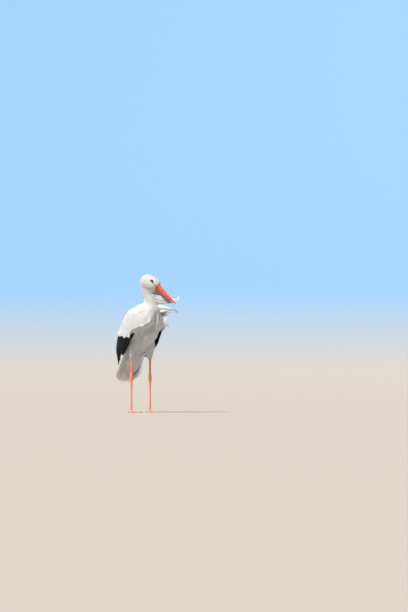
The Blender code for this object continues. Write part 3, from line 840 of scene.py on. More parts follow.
def vane_rows(across, stations):
    """Numbers of the points and faces of one vane, and each point's share across and along.

    The first and last rows hold one point for each share across; the rows between run round the
    vane, over its top and back under it, so that the vane is closed.
    """
    shares = list(range(across)) + list(range(across - 2, 0, -1))
    rows = [shares]
    order = [(share, 0, 0) for share in range(across)]
    for station in range(1, stations - 1):
        rows.append([len(order) + corner for corner in range(len(shares))])
        order += [(share, station, int(corner >= across)) for corner, share in enumerate(shares)]
    rows.append([len(order) + share for share in shares])
    order += [(share, stations - 1, 0) for share in range(across)]
    faces = []
    for low, high in zip(rows, rows[1:]):
        for corner in range(len(shares)):
            after = (corner + 1) % len(shares)
            faces.append((low[corner], low[after], high[after], high[corner]))
    return np.array(order), np.array(faces)


def outline(along, roundness):
    """The vane's half width along its length, as a share of its greatest."""
    swell = np.minimum(1.0, (along / SWELL_SHARE) ** 0.7 + 0.08)
    narrow = np.sqrt(np.maximum(0.0, 1.0 - fade(along, roundness, 1.0 - roundness) ** 2))
    return swell * (TIP_WIDTH + (1 - TIP_WIDTH) * narrow)


def vanes(name, places, normals, half_widths, patch_uv, seed, fray, across=5, camber=0.20, roundness=0.62,
          depth_of_vane=VANE_DEPTH, lag=0.12, softness=0.6, lie=None, spacing=1.0):
    """One joined mesh of closed vanes on these midribs.

    Camber arches a vane, lag leaves its edges behind its midrib, fray makes its tip uneven, and
    softness is how far its shading follows the lie of the coat.
    """
    rng = np.random.default_rng(seed)
    count, stations = places.shape[:2]
    order, faces = vane_rows(across, stations)
    tangent = unit(np.gradient(places, axis=1))
    sideways = unit(np.cross(tangent, normals))
    upward = unit(np.cross(sideways, tangent))
    tilt = rng.normal(0.0, VANE_TILT, count)[:, None, None]
    sideways, upward = unit(sideways + upward * tilt), unit(upward - sideways * tilt)
    length = np.linalg.norm(np.diff(places, axis=1), axis=2).sum(axis=1)
    share = order[:, 0] / (across - 1) * 2 - 1
    along = 1 - (1 - order[:, 1] / (stations - 1)) ** spacing
    row = order[:, 1]
    breadth = outline(along, roundness)
    widths = half_widths[:, None] * breadth[None, :]
    points = places[:, row] + sideways[:, row] * (share * widths)[..., None]
    drop = -camber * widths * share**2 - depth_of_vane * order[:, 2] * (1 - share**2) ** 0.5
    points += upward[:, row] * drop[..., None]
    jitter = rng.normal(0.0, fray, (count, across))[:, order[:, 0]]
    back = (-lag * (share * breadth) ** 2 * along**3 + jitter * breadth * along**4) * length[:, None]
    points += tangent[:, row] * back[..., None]
    mesh = bpy.data.meshes.new(name)
    size = len(order)
    mesh.vertices.add(count * size)
    mesh.vertices.foreach_set("co", points.ravel())
    corners = (faces[None] + (np.arange(count) * size)[:, None, None]).ravel()
    mesh.loops.add(len(corners))
    mesh.loops.foreach_set("vertex_index", corners.astype(np.int32))
    mesh.polygons.add(len(corners) // 4)
    mesh.polygons.foreach_set("loop_start", np.arange(0, len(corners), 4, dtype=np.int32))
    mesh.update(calc_edges=True)
    spots = np.stack([order[:, 0] / (across - 1), along], axis=1)[faces.ravel()]
    patch = (patch_uv[:, None] + (spots[None] - 0.5) * PATCH).ravel()
    mesh.uv_layers.new(name="OFBake").uv.foreach_set("vector", patch)
    mesh.uv_layers.new(name="Vane").uv.foreach_set("vector", np.tile(spots.ravel(), count))
    keep_value(mesh, "tint", np.repeat(rng.random(count), size))
    mesh.shade_smooth()
    # Barbs scatter light like fur, so a vane is lit much as the lie of the coat is.
    face_up = upward[:, row] + sideways[:, row] * (share * camber * 1.6)[:, None]
    loose = lie is not None
    lie = lie if loose else normals
    face_up = unit(face_up)
    top = unit(face_up * (1 - softness) + lie[:, row] * softness)[:, faces.ravel()]
    under = -top if loose else -face_up[:, faces.ravel()]
    over = np.repeat(np.arange(len(faces)) % (2 * across - 2) < across - 1, 4)[:, None]
    facing = np.where(over, top, under)
    mesh.normals_split_custom_set(facing.reshape(-1, 3))
    return add_object(name, mesh)


def coat(name, nodes, roots, triangles, lengths, half_widths, stands, across, stations, seed, yaw=0.12,
         tuck=0.40, stray=0.010, **shape):
    """A coat piece from these roots: its feathers rise from the skin to stand off it at their tips.

    Lengths, half widths and stand-offs are one value for all the feathers or one for each.
    """
    rng = np.random.default_rng(seed)
    count = len(roots)
    lengths, half_widths, stands = (np.ones(count) * values for values in (lengths, half_widths, stands))
    lengths = lengths * rng.uniform(*LENGTHS_VARY, count)
    turn = rng.normal(0.0, yaw, count) + LOCK_TURN * smooth_values(roots, LOCK_SIZE, 91)
    for _ in range(3):
        places, normals = lay(roots, triangles, lengths, stations, turn)
        over_bare = bareness(places.reshape(-1, 3)).reshape(count, stations).max(axis=1) > 0.5
        lengths = np.where(over_bare, lengths * 0.6, lengths)
    # A feather that would fold over itself, or stand away at an edge of the skin, is left out.
    steps = np.diff(places, axis=1)
    reach = np.linalg.norm(steps, axis=2)
    bend = (unit(steps[:, 1:]) * unit(steps[:, :-1])).sum(axis=2).min(axis=1)
    keep = ~over_bare & (bend > LEAST_BEND) & (reach.min(axis=1) > LEAST_STEP * reach.max(axis=1))
    keep &= (normals[:, 1:] * normals[:, :-1]).sum(axis=2).min(axis=1) > LEAST_TWIST
    tips = [skin_tree.find_nearest(Vector(tip))[3] for tip in places[:, -1].tolist()]
    keep &= np.array(tips) < stray
    places, normals, roots, triangles = places[keep], normals[keep], roots[keep], triangles[keep]
    half_widths, stands, count = half_widths[keep], stands[keep], int(keep.sum())
    for _ in range(2):
        normals[:, 1:-1] = unit(normals[:, :-2] + normals[:, 1:-1] + normals[:, 2:])
        places[:, 1:-1] = (places[:, :-2] + 2 * places[:, 1:-1] + places[:, 2:]) / 4
    # The stations stand closer together towards the tip, which rounds it.
    along = 1 - (1 - np.linspace(0, 1, stations)) ** TIP_SPACING
    low = np.minimum((along * (stations - 1)).astype(int), stations - 2)
    blend = (along * (stations - 1) - low)[:, None]
    places = places[:, low] * (1 - blend) + places[:, low + 1] * blend
    normals = unit(normals[:, low] * (1 - blend) + normals[:, low + 1] * blend)
    puff = 1.0 + LOCK_PUFF * smooth_values(roots, LOCK_SIZE, 92)
    lifted = stands * puff * rng.uniform(*STANDS_VARY, count)
    rise = ROOT_SINK + (lifted - ROOT_SINK)[:, None] * along**0.85
    rise -= np.outer(stands * tuck, fade(along, TUCK_FROM, 0.3) ** 2)
    places = places + normals * rise[..., None]
    half_widths = half_widths * rng.uniform(*WIDTHS_VARY, count)
    piece = vanes(name, places, normals, half_widths, skin_uv[triangles], seed + 1, across=across,
                  spacing=TIP_SPACING, **shape)
    dress(piece, white_feather, "white_plumage", *nodes)


bill_trees = [tree_of(name) for name in ("bill_upper", "bill_lower")]
middles = skin_points[skin_faces].mean(axis=1)
triangle_node = skin_node[skin_faces[:, 0]]
triangle_normal = unit(skin_normals[skin_faces].mean(axis=1))
middle_down, middle_angle, _ = place_on_axis(middles)
side_of = np.sign(middles[:, 0] - AXIS_START.x)
off_axis = np.outer(np.cos(np.radians(middle_angle)), np.array(BACKWARD))
off_axis[:, 0] += side_of * np.sin(np.radians(middle_angle))
outwardness = (triangle_normal * off_axis).sum(axis=1)
from_bill_root = np.linalg.norm(middles - np.array(in_head(*BILL_ROOT)), axis=1)
off_bill = np.full(len(middles), 1.0)
for index in np.flatnonzero(from_bill_root < BILL_NEAR):
    for bill_tree in bill_trees:
        spot, facing, _, distance = bill_tree.find_nearest(Vector(middles[index]))
        outside = (Vector(middles[index]) - spot).dot(facing) > 0
        off_bill[index] = min(off_bill[index], distance if outside else -distance)

# Each stretch: node, gap between roots, length, half width, stand-off, shares across, stations and
# fray. Lengths and widths grow from the face down the neck to the breast, belly and flanks.
STRETCHES = (
    ("face_feathers", "head", 0.0019, 0.0072, 0.0013, 0.0016, 3, 5, 0.03),
    ("crown_feathers", "head", 0.0025, 0.0130, 0.0018, 0.0024, 3, 5, 0.03),
    ("upper_neck_feathers", "neck_upper", 0.0033, 0.029, 0.0026, 0.0040, 3, 6, 0.035),
    ("middle_neck_feathers", "neck_middle", 0.0038, 0.037, 0.0031, 0.0050, 3, 6, 0.035),
    ("lower_neck_feathers", "neck_lower", 0.0052, 0.055, 0.0044, 0.0070, 5, 6, 0.035),
    ("body_feathers", "trunk", 0.0062, 0.058, 0.0070, 0.0066, 5, 7, 0.035),
    ("left_thigh_feathers", "thigh_left", 0.0042, 0.034, 0.0034, 0.0038, 3, 6, 0.035),
    ("right_thigh_feathers", "thigh_right", 0.0042, 0.034, 0.0034, 0.0038, 3, 6, 0.035),
)
for number, (name, node, gap, length, half_width, stand, across, stations, fray) in enumerate(STRETCHES):
    chosen = on_node(triangle_node, node) & (off_bill > BILL_CLEARANCE)
    if name == "face_feathers":
        chosen &= from_bill_root < FACE_REACH
    if name == "crown_feathers":
        chosen &= from_bill_root >= FACE_REACH
    roots, triangles = scatter(chosen, gap, 10 + number)
    coat(name, (node,), roots, triangles, length, half_width, stand, across, stations, 30 + 2 * number,
         fray=fray)


# ---- Wing coverts and shoulder feathers -------------------------------------------------------
# Broad firm feathers in rows over the folded wing and the back, short at the bend of the wing and
# long above the quills, where their rounded white ends lie over the black.

COVERT_OVERLAP = 0.016
FACE_OUT = 0.45
EDGE_BAND = 16.0
EDGE_LIFT = 1.6
LAST_ANGLE = 165.0
USUAL_RADIUS = 0.12
RAY_START = 0.30
RAY_LENGTH = 0.29
SHORTEST_COVERT = 0.019
ROW_WANDER = 0.08
STEP_WANDER = 0.05
LEAST_RADIUS = 0.05
MANTLE_FROM = -0.075
MANTLE_TO = 0.11
MANTLE_ANGLE = 88.0
# Each band: where it starts and ends along the axis, the steps between rows and between feathers,
# their length, half width and stand-off.
BANDS = (
    ("lesser", -0.09, 0.060, 0.0080, 0.0085, 0.036, 0.0076, 0.0034),
    ("median", 0.060, 0.135, 0.0115, 0.0120, 0.050, 0.0104, 0.0034),
    ("greater", 0.135, 0.400, 0.0160, 0.0150, 0.072, 0.0132, 0.0036),
)


def direction_at(angle, side):
    """The direction off the body axis at this angle from the back's middle."""
    turn = math.radians(angle)
    return BACKWARD * math.cos(turn) + Vector((side * math.sin(turn), 0.0, 0.0))


def rows_on_wing(side, node, low, high, row_step, feather_step, seed):
    """Roots in offset rows over this node of the skin, with the triangle that each is on."""
    rng = np.random.default_rng(seed)
    of_node = on_node(triangle_node, node) & (outwardness > FACE_OUT)
    roots, triangles = [], []
    for row, down in enumerate(np.arange(low, high, row_step)):
        arc = (row % 2) * feather_step / 2
        angle = math.degrees(arc / USUAL_RADIUS)
        while angle < LAST_ANGLE:
            out = direction_at(angle, side)
            middle = AXIS_START + ALONG * (down + rng.normal(0, ROW_WANDER) * row_step)
            spot, _, triangle, _ = skin_tree.ray_cast(middle + out * RAY_START, -out, RAY_LENGTH)
            off = USUAL_RADIUS
            if spot is not None:
                off = max((spot - middle).length, LEAST_RADIUS)
                if of_node[triangle]:
                    roots.append(tuple(spot))
                    triangles.append(triangle)
            angle += math.degrees(feather_step * (1 + rng.normal(0, STEP_WANDER)) / off)
    rows = np.array(roots)
    spare = of_node & (middle_down >= low) & (middle_down < high)
    more, on = scatter(spare, feather_step * 0.9, seed + 5)
    far = [np.linalg.norm(rows - point, axis=1).min() > feather_step * 0.95 for point in more]
    return np.concatenate([rows, more[far]]), np.concatenate([triangles, on[far]])


for side_name, side in SIDES:
    node = "wing_%s_coverts" % side_name
    for number, (band, low, high, row_step, feather_step, length, half_width, stand) in enumerate(BANDS):
        roots, triangles = rows_on_wing(side, node, low, high, row_step, feather_step, 60 + number)
        down, angle, _ = place_on_axis(roots)
        room = np.interp(angle, *wing_reach[side_name, "coverts"]) - down
        keep = room > 0.002
        roots, triangles = roots[keep], triangles[keep]
        lengths = np.minimum(length, np.maximum(room[keep] + COVERT_OVERLAP, SHORTEST_COVERT))
        edge = np.interp(down[keep], *wing_low_edge[side_name, "coverts"])
        near_edge = fade(angle[keep] - edge, -EDGE_BAND, EDGE_BAND)
        stands = stand * (1 + EDGE_LIFT * near_edge)
        half_widths = half_width * (0.45 + 0.55 * lengths / length)
        coat("%s_wing_%s_coverts" % (side_name, band), (node,), roots, triangles, lengths, half_widths,
             stands, across=5, stations=7, seed=70 + number + 10 * side, yaw=0.035, tuck=0.45, fray=0.008,
             roundness=0.72, camber=0.10, softness=0.45)

    # Short feathers round the edge of the wing, where it turns in towards the body.
    rim = on_node(triangle_node, node) & (outwardness <= FACE_OUT)
    rim &= triangle_normal @ np.array(ALONG) < 0.55
    roots, triangles = scatter(rim, 0.0048, 90 + side)
    coat("%s_wing_edge_feathers" % side_name, (node,), roots, triangles, lengths=0.016, half_widths=0.0044,
         stands=0.0028, across=5, stations=5, seed=92 + side, yaw=0.06, tuck=0.3, stray=0.006, fray=0.008)

# The mantle's feathers close the joint between the neck and the two wings.
on_mantle = (middle_down > MANTLE_FROM) & (middle_down < MANTLE_TO) & (middle_angle < MANTLE_ANGLE)
on_mantle &= outwardness > FACE_OUT
for node in ("neck_upper", "neck_middle"):
    on_mantle &= ~on_node(triangle_node, node)
roots, triangles = scatter(on_mantle, 0.0105, 81)
coat("mantle_feathers", (), roots, triangles, lengths=0.058, half_widths=0.0100, stands=0.0068, across=5,
     stations=7, seed=82, yaw=0.06, tuck=0.35, fray=0.010, roundness=0.70, camber=0.10, softness=0.5)


# ---- Black flight feathers --------------------------------------------------------------------
# Long stiff quills that fold over each other under the coverts. The innermost lie on top along the
# back; the outer ones show only their lower edges, and the longest tips reach past the rest.

QUILL_STATIONS = 14
QUILL_ACROSS = 9
QUILL_ROOT_DEPTH = 0.0075
BLADE_DEPTH = 0.0008


def blade_line(shell, side, root, tip, sink):
    """A midrib from root to tip along the outside of a shell, this far under its face.

    Root and tip are a place down the axis and an angle; the root lies deeper, under the coverts.
    """
    places, normals = [], []
    for share in np.linspace(0, 1, QUILL_STATIONS):
        down = root[0] + (tip[0] - root[0]) * share
        out = direction_at(root[1] + (tip[1] - root[1]) * share, side)
        middle = AXIS_START + ALONG * down
        spot, normal, _, _ = shell.ray_cast(middle + out * RAY_START, -out, RAY_LENGTH)
        if spot is None and len(places) > 1:
            spot, normal = places[-1] * 2 - places[-2], normals[-1]
        elif spot is None:
            spot, normal = middle + out * 0.1, out
        places.append(spot)
        normals.append(normal)
    rows = np.array([tuple(place) for place in places])
    for _ in range(3):
        rows[1:-1] = (rows[:-2] + 2 * rows[1:-1] + rows[2:]) / 4
    faces = unit(np.array([tuple(normal) for normal in normals]))
    for _ in range(4):
        faces[1:-1] = unit(faces[:-2] + faces[1:-1] + faces[2:])
    depth = sink + QUILL_ROOT_DEPTH * eased(fade(-np.linspace(0, 1, QUILL_STATIONS), -0.42, 0.24))
    return rows - faces * depth[:, None], faces


def union_tree(names):
    """A tree of these nodes' meshes together."""
    joined = bmesh.new()
    for name in names:
        joined.from_mesh(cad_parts[name].data)
    tree = BVHTree.FromBMesh(joined)
    joined.free()
    return tree


def uv_at_roots(places):
    """The skin's place on the texture under the root of each midrib."""
    return np.array([skin_uv[skin_tree.find_nearest(Vector(place[0]))[2]] for place in places])


def blades(name, lines, half_widths, finish, node, slot, seed, **shape):
    """One piece of large feathers on these midribs."""
    places, normals = (np.array(rows) for rows in zip(*lines))
    uv = uv_at_roots(places) + np.arange(len(places))[:, None] * PATCH * 0.4
    piece = vanes(name, places, normals, np.array(half_widths), uv, seed, fray=0.004, across=QUILL_ACROSS,
                  depth_of_vane=BLADE_DEPTH, softness=0.1, **shape)
    dress(piece, finish, slot, node)


TOP_TIP_ANGLE = 3.0
TOP_ROOT_ANGLE = 6.0
# Each layer: the part of the wing, how many feathers, half width, the first one's depth under the
# shell's face, the depth that each next one lies deeper, and how far their roots tuck in.
QUILLS = (
    ("secondaries", 15, 0.0185, 0.0006, 0.00035, 0.060),
    ("primaries", 8, 0.0150, 0.0012, 0.00050, 0.050),
)
for side_name, side in SIDES:
    shell = union_tree(["wing_%s_%s" % (side_name, part) for part in WING_NODES])
    for part, count, half_width, first_depth, deeper, tuck in QUILLS:
        lines = []
        reach = wing_reach[side_name, part]
        low_root = np.interp(0.22, *wing_low_edge[side_name, part])
        low_tip = np.interp(reach[1].max() - 0.05, *wing_low_edge[side_name, part])
        for index in range(count):
            share = (index + 0.35) / (count - 0.65)
            tip_angle = TOP_TIP_ANGLE + (low_tip - TOP_TIP_ANGLE) * share
            root_angle = TOP_ROOT_ANGLE + (low_root - TOP_ROOT_ANGLE) * share
            tip_down = np.interp(tip_angle, *reach)
            root_down = np.interp(root_angle, *wing_reach[side_name, "coverts"]) - tuck
            sink = first_depth + deeper * index
            lines.append(blade_line(shell, side, (root_down, root_angle), (tip_down, tip_angle), sink))
        widths = [half_width * (0.86 + 0.14 * math.cos(index)) for index in range(count)]
        blades("%s_wing_%s" % (side_name, part), lines, widths, black_feather,
               "wing_%s_%s" % (side_name, part), "black_plumage", 7, camber=0.10, roundness=0.80, lag=0.10)


# ---- Tail -------------------------------------------------------------------------------------
# Twelve broad white feathers in a rounded fan, the middle pair on top, rooted in the rump. Softer
# coverts lie over their roots from below, and long loose flank feathers hang beside them.

TAIL_ROOT = 0.285
TAIL_ARCH = 0.012
TAIL_PITCH = math.radians(69.0)
TAIL_LENGTH = 0.226
TAIL_HALF_WIDTH = 0.094
TAIL_SWING = 0.08
TAIL_FAN = 0.86
TAIL_FEATHERS = 12
TAIL_FEATHER_HALF_WIDTH = 0.0185
UNDERTAIL_SHARE = 0.86
# The flanks' hanging feathers root between these places, back and up.
FLANKS_FROM = (0.025, 0.350)
FLANKS_TO = (0.105, 0.430)
FILL_FEATHERS = 110
STRAND_STATIONS = 10
tail_base = AXIS_START + ALONG * TAIL_ROOT + BACKWARD * TAIL_ARCH
tail_way = Vector((-TAIL_SWING, math.cos(TAIL_PITCH), -math.sin(TAIL_PITCH)))
tail_up = Vector((0.0, math.sin(TAIL_PITCH), math.cos(TAIL_PITCH)))
lines = []
middle_feather = (TAIL_FEATHERS - 1) / 2
for index in range(TAIL_FEATHERS):
    fan = (index - middle_feather) / middle_feather * TAIL_FAN
    full = TAIL_LENGTH * (1 - 0.14 * fan**2 - 0.12 * fan**4)
    rows = []
    for share in np.linspace(0.02, 0.995, QUILL_STATIONS):
        opened = 0.62 + 0.38 * min(share * 1.2, 1.0)
        sunk = TAIL_ARCH * fan**2 + 0.0012 + 0.0008 * abs(index - middle_feather)
        spot = tail_base + tail_way * full * share - tail_up * sunk
        rows.append(tuple(spot + Vector((fan * TAIL_HALF_WIDTH * opened, 0, 0))))
    facing = unit(np.array([tuple(tail_up + Vector((0.22 * fan, 0, 0)))] * QUILL_STATIONS))
    lines.append((np.array(rows), facing))
blades("tail_feathers", lines, [TAIL_FEATHER_HALF_WIDTH] * TAIL_FEATHERS, white_feather, "tail",
       "white_plumage", 8, camber=0.18, roundness=0.78, lag=0.08)

# The long undertail coverts lie along the tail's underside and end before its tips.
on_under = on_node(triangle_node, "undertail_coverts")
on_under &= triangle_normal @ np.array(tail_up) < 0.25
roots, triangles = scatter(on_under, 0.0062, 83)
room = TAIL_LENGTH * UNDERTAIL_SHARE - (roots - np.array(tail_base)) @ np.array(tail_way)
coat("undertail_feathers", ("undertail_coverts",), roots, triangles, lengths=np.clip(room, 0.026, 0.080),
     half_widths=0.0070, stands=0.0072, across=5, stations=7, seed=84, yaw=0.08, fray=0.02)

# Loose long feathers of the flanks hang behind the thighs.
hanging = (middles[:, 1:] > FLANKS_FROM).all(axis=1) & (middles[:, 1:] < FLANKS_TO).all(axis=1)
hanging &= (triangle_normal[:, 2] < 0.30) & on_node(triangle_node, "trunk")
roots, triangles = scatter(hanging, 0.0075, 85)
coat("flank_feathers", ("trunk",), roots, triangles, lengths=0.070, half_widths=0.0060, stands=0.0085,
     across=5, stations=8, seed=86, stray=0.012, fray=0.02)

# Feathers fill the step between the undertail coverts and the tail on both sides.
rng = np.random.default_rng(87)
places, facings = [], []
for side_name, side in SIDES:
    for _ in range(FILL_FEATHERS):
        share, fan, deep = rng.uniform(0.10, 0.55), rng.uniform(0.40, 0.97), rng.uniform(0.004, 0.030)
        along = tail_base + tail_way * TAIL_LENGTH * share - tail_up * deep
        outside = Vector((side * 0.15, 0.0, 0.0))
        start, facing, _, _ = skin_tree.ray_cast(along + outside, -outside.normalized(), 0.15)
        if start is None:
            continue
        end_share = min(share + rng.uniform(0.28, 0.42), 0.93)
        end = tail_base + tail_way * TAIL_LENGTH * end_share - tail_up * (0.006 + TAIL_ARCH * fan**2)
        end.x += side * fan * TAIL_HALF_WIDTH * 0.86
        steps = np.linspace(0, 1, STRAND_STATIONS)[:, None]
        bow = np.array(facing * 0.006) * np.sin(steps * math.pi)
        line = np.array(start) * (1 - steps) + np.array(end) * steps + bow
        places.append(line - np.array(facing) * 0.001)
        facings.append([tuple((facing - tail_up * 0.6).normalized())] * STRAND_STATIONS)
places, facings = np.array(places), np.array(facings)
uv = uv_at_roots(places) + rng.uniform(-0.003, 0.003, (len(places), 2))
half_widths = rng.uniform(0.005, 0.009, len(places))
piece = vanes("undertail_side_feathers", places, facings, half_widths, uv, 88, fray=0.02, roundness=0.6)
dress(piece, white_feather, "white_plumage", "undertail_coverts")


# ---- Breast plumes ----------------------------------------------------------------------------
# Long loose lance-shaped feathers of the foreneck and breast, lifted by the wind in three locks.
# Each is a vane of its own; most end along the lock, and a few thin ones run on to its tip.

# Each lock: node, strands, how many of them are the thin long ones, where the others end at the
# latest, its route, its half widths along the route and its half thickness.
LOCKS = (
    ("breast_plume_upper", 260, 14, 0.72,
     ((-0.015, -0.053, 0.700), (0.021, -0.093, 0.694), (0.053, -0.123, 0.682), (0.085, -0.149, 0.667),
      (0.107, -0.161, 0.668), (0.119, -0.165, 0.680), (0.129, -0.169, 0.697)),
     (0.030, 0.041, 0.032, 0.012, 0.006, 0.005, 0.002), 0.009),
    ("breast_plume_middle", 100, 12, 0.86,
     ((-0.001, -0.090, 0.618), (0.029, -0.115, 0.620), (0.061, -0.143, 0.613), (0.093, -0.169, 0.604),
      (0.107, -0.179, 0.599)),
     (0.018, 0.020, 0.013, 0.007, 0.002), 0.008),
    ("breast_plume_lower", 140, 12, 0.84,
     ((0.019, -0.085, 0.592), (0.045, -0.111, 0.574), (0.051, -0.117, 0.545), (0.065, -0.125, 0.518),
      (0.077, -0.133, 0.502)),
     (0.024, 0.027, 0.018, 0.009, 0.002), 0.011),
)
LOCK_SIDE = np.array((0.64, 0.77, 0.0))
PLUME_LIFT = 0.8


def on_curve(table, share):
    """Rows of the table at these shares of its length, on a smooth curve through them."""
    rows = np.array(table, float)
    rows = rows[:, None] if rows.ndim == 1 else rows
    place = np.clip(share, 0, 1) * (len(rows) - 1)
    low = np.minimum(place.astype(int), len(rows) - 2)
    blend = (place - low)[..., None]
    before, start = rows[np.maximum(low - 1, 0)], rows[low]
    end, after = rows[low + 1], rows[np.minimum(low + 2, len(rows) - 1)]
    bend = 2 * before - 5 * start + 4 * end - after
    twist = 3 * start - before - 3 * end + after
    return 0.5 * (2 * start + (end - before) * blend + bend * blend**2 + twist * blend**3)


for number, (node, count, thin, tip_share, route, widths, thickness) in enumerate(LOCKS):
    rng = np.random.default_rng(200 + number)
    start = rng.uniform(0.0, 0.45, count) ** 1.4
    end = np.minimum(start + rng.uniform(0.30, 0.60, count), tip_share * rng.uniform(0.80, 1.0, count))
    far = np.arange(count) < thin
    end[far] = rng.uniform(0.94, 1.0, thin)
    start[far] = rng.uniform(0.30, 0.55, thin)
    share = start[:, None] + (end - start)[:, None] * np.linspace(0, 1, STRAND_STATIONS)
    middle = on_curve(route, share)
    forward = unit(np.gradient(middle, axis=1))
    wide = unit(np.cross(forward, LOCK_SIDE))
    offset = np.sign(rng.uniform(-1, 1, count)) * rng.uniform(0, 1, count) ** 0.7
    reach = on_curve(widths, share)[..., 0]
    places = middle + wide * (offset[:, None] * reach * 0.95)[..., None]
    aside = rng.uniform(-1, 1, count)[:, None] * np.minimum(reach, thickness) * 0.8
    places += LOCK_SIDE * aside[..., None]
    wobble = smooth_values(places, 0.03, 300 + number) * 0.0015
    places += wide * wobble[..., None]
    facing = unit(LOCK_SIDE + wide * rng.normal(0, 0.25, count)[:, None, None])
    uv = uv_at_roots(places) + rng.uniform(-0.004, 0.004, (count, 2))
    half = rng.uniform(0.0026, 0.0050, count) * (1.15 - 0.5 * start)
    half[far] = rng.uniform(0.0008, 0.0015, thin)
    lie = unit(facing - np.array(UP) * PLUME_LIFT)
    piece = vanes(node + "_feathers", places, facing, half, uv, 210 + number, fray=0.006, across=3,
                  roundness=0.30, softness=0.7, lie=lie)
    # The plumes' lighter material is painted light in the shade under the bill and head.
    dress(piece, plume_feather_painted_light, "white_plumage", node)


# ---- Bill -------------------------------------------------------------------------------------
# Two long mandibles of red horn, closed on each other, with a slit nostril near the base of the
# upper one. The slit and the seam where the mandibles meet are painted near black as painted shade.

BILL_PITCH = math.radians(38.5)
BILL_LENGTH = 0.194
BILL_ROOT_AHEAD = 0.030
BILL_ROOT_UP = 0.0105
BILL_HALF_WIDTH = 0.0135
BILL_HALF_DEPTH = 0.0195
NOSTRIL_SHARE = 0.245
NOSTRIL_LENGTH = 0.028
NOSTRIL_HEIGHT = 0.62
NOSTRIL_DEPTH = 0.0014
MANDIBLE_GAP = 0.00012
BILL_TAPER = 0.90
BILL_TIP_FROM = 0.95
GAPE_AT = 0.17
GAPE_SPREAD = 0.06


def turned(name, around, along):
    """A closed form to shape: each point's share from one end to the other, and its angle round."""
    nothing_selected()
    bpy.ops.mesh.primitive_uv_sphere_add(segments=around, ring_count=along, radius=1.0)
    obj = bpy.context.object
    obj.name = name
    obj.data.name = name
    points = points_of(obj.data)
    share = np.arccos(np.clip(points[:, 2], -1, 1)) / math.pi
    return obj, share, np.arctan2(points[:, 1], points[:, 0])


def set_shape(obj, points):
    """Puts the object's points here, turns its faces outwards and shades it smooth."""
    obj.data.vertices.foreach_set("co", np.ascontiguousarray(points).ravel())
    edit_mesh(obj, lambda bm: bmesh.ops.recalc_face_normals(bm, faces=bm.faces))
    obj.data.shade_smooth()


bill_start = in_head(BILL_ROOT_AHEAD, BILL_ROOT_UP, 0.0)
bill_way = (in_head(1.0, 0.0, 0.0, BILL_PITCH) - HEAD_CENTRE).normalized()
bill_side = Matrix.Rotation(HEAD_TURN, 3, "Z") @ Vector((1, 0, 0))
bill_up = bill_side.cross(bill_way).normalized()
bill_up = bill_up if bill_up.z > 0 else -bill_up

horn, shader, tree = new_material("red_horn", (0.72, 0.085, 0.025), 0.36)
streak = tree.nodes.new("ShaderNodeUVMap")
streak.uv_map = "Horn"
stretch = tree.nodes.new("ShaderNodeMapping")
stretch.inputs["Scale"].default_value = (26.0, 2.2, 1.0)
tree.links.new(streak.outputs["UV"], stretch.inputs["Vector"])
fibre = tree.nodes.new("ShaderNodeTexNoise")
fibre.inputs["Scale"].default_value = 3.0
fibre.inputs["Detail"].default_value = 6.0
tree.links.new(stretch.outputs["Vector"], fibre.inputs["Vector"])
tone, _ = uneven_tones(tree, 60.0)
colour = mix_colours(tree, kept_value(tree, "reach"), (0.64, 0.042, 0.018), (0.82, 0.14, 0.035))
deep_colour = mix_colours(tree, fibre.outputs["Fac"], (0.42, 0.028, 0.014), (0.92, 0.16, 0.06))
colour = mix_colours(tree, 0.38, colour, deep_colour)
colour = mix_colours(tree, scaled(tree, tone, 0.25), colour, (0.45, 0.05, 0.03))
# Painted shade: near black in the nostril slit and along the seam where the mandibles meet.
colour = mix_colours(tree, kept_value(tree, "dark"), colour, (0.035, 0.010, 0.008))
tree.links.new(colour, shader.inputs["Base Color"])
add_relief(tree, shader, fibre.outputs["Fac"], strength=0.30, distance=0.0004)
rough = math_node(tree, "ADD", scaled(tree, fibre.outputs["Fac"], 0.25), 0.24)
tree.links.new(rough, shader.inputs["Roughness"])
shader.inputs["Coat Weight"].default_value = 0.15

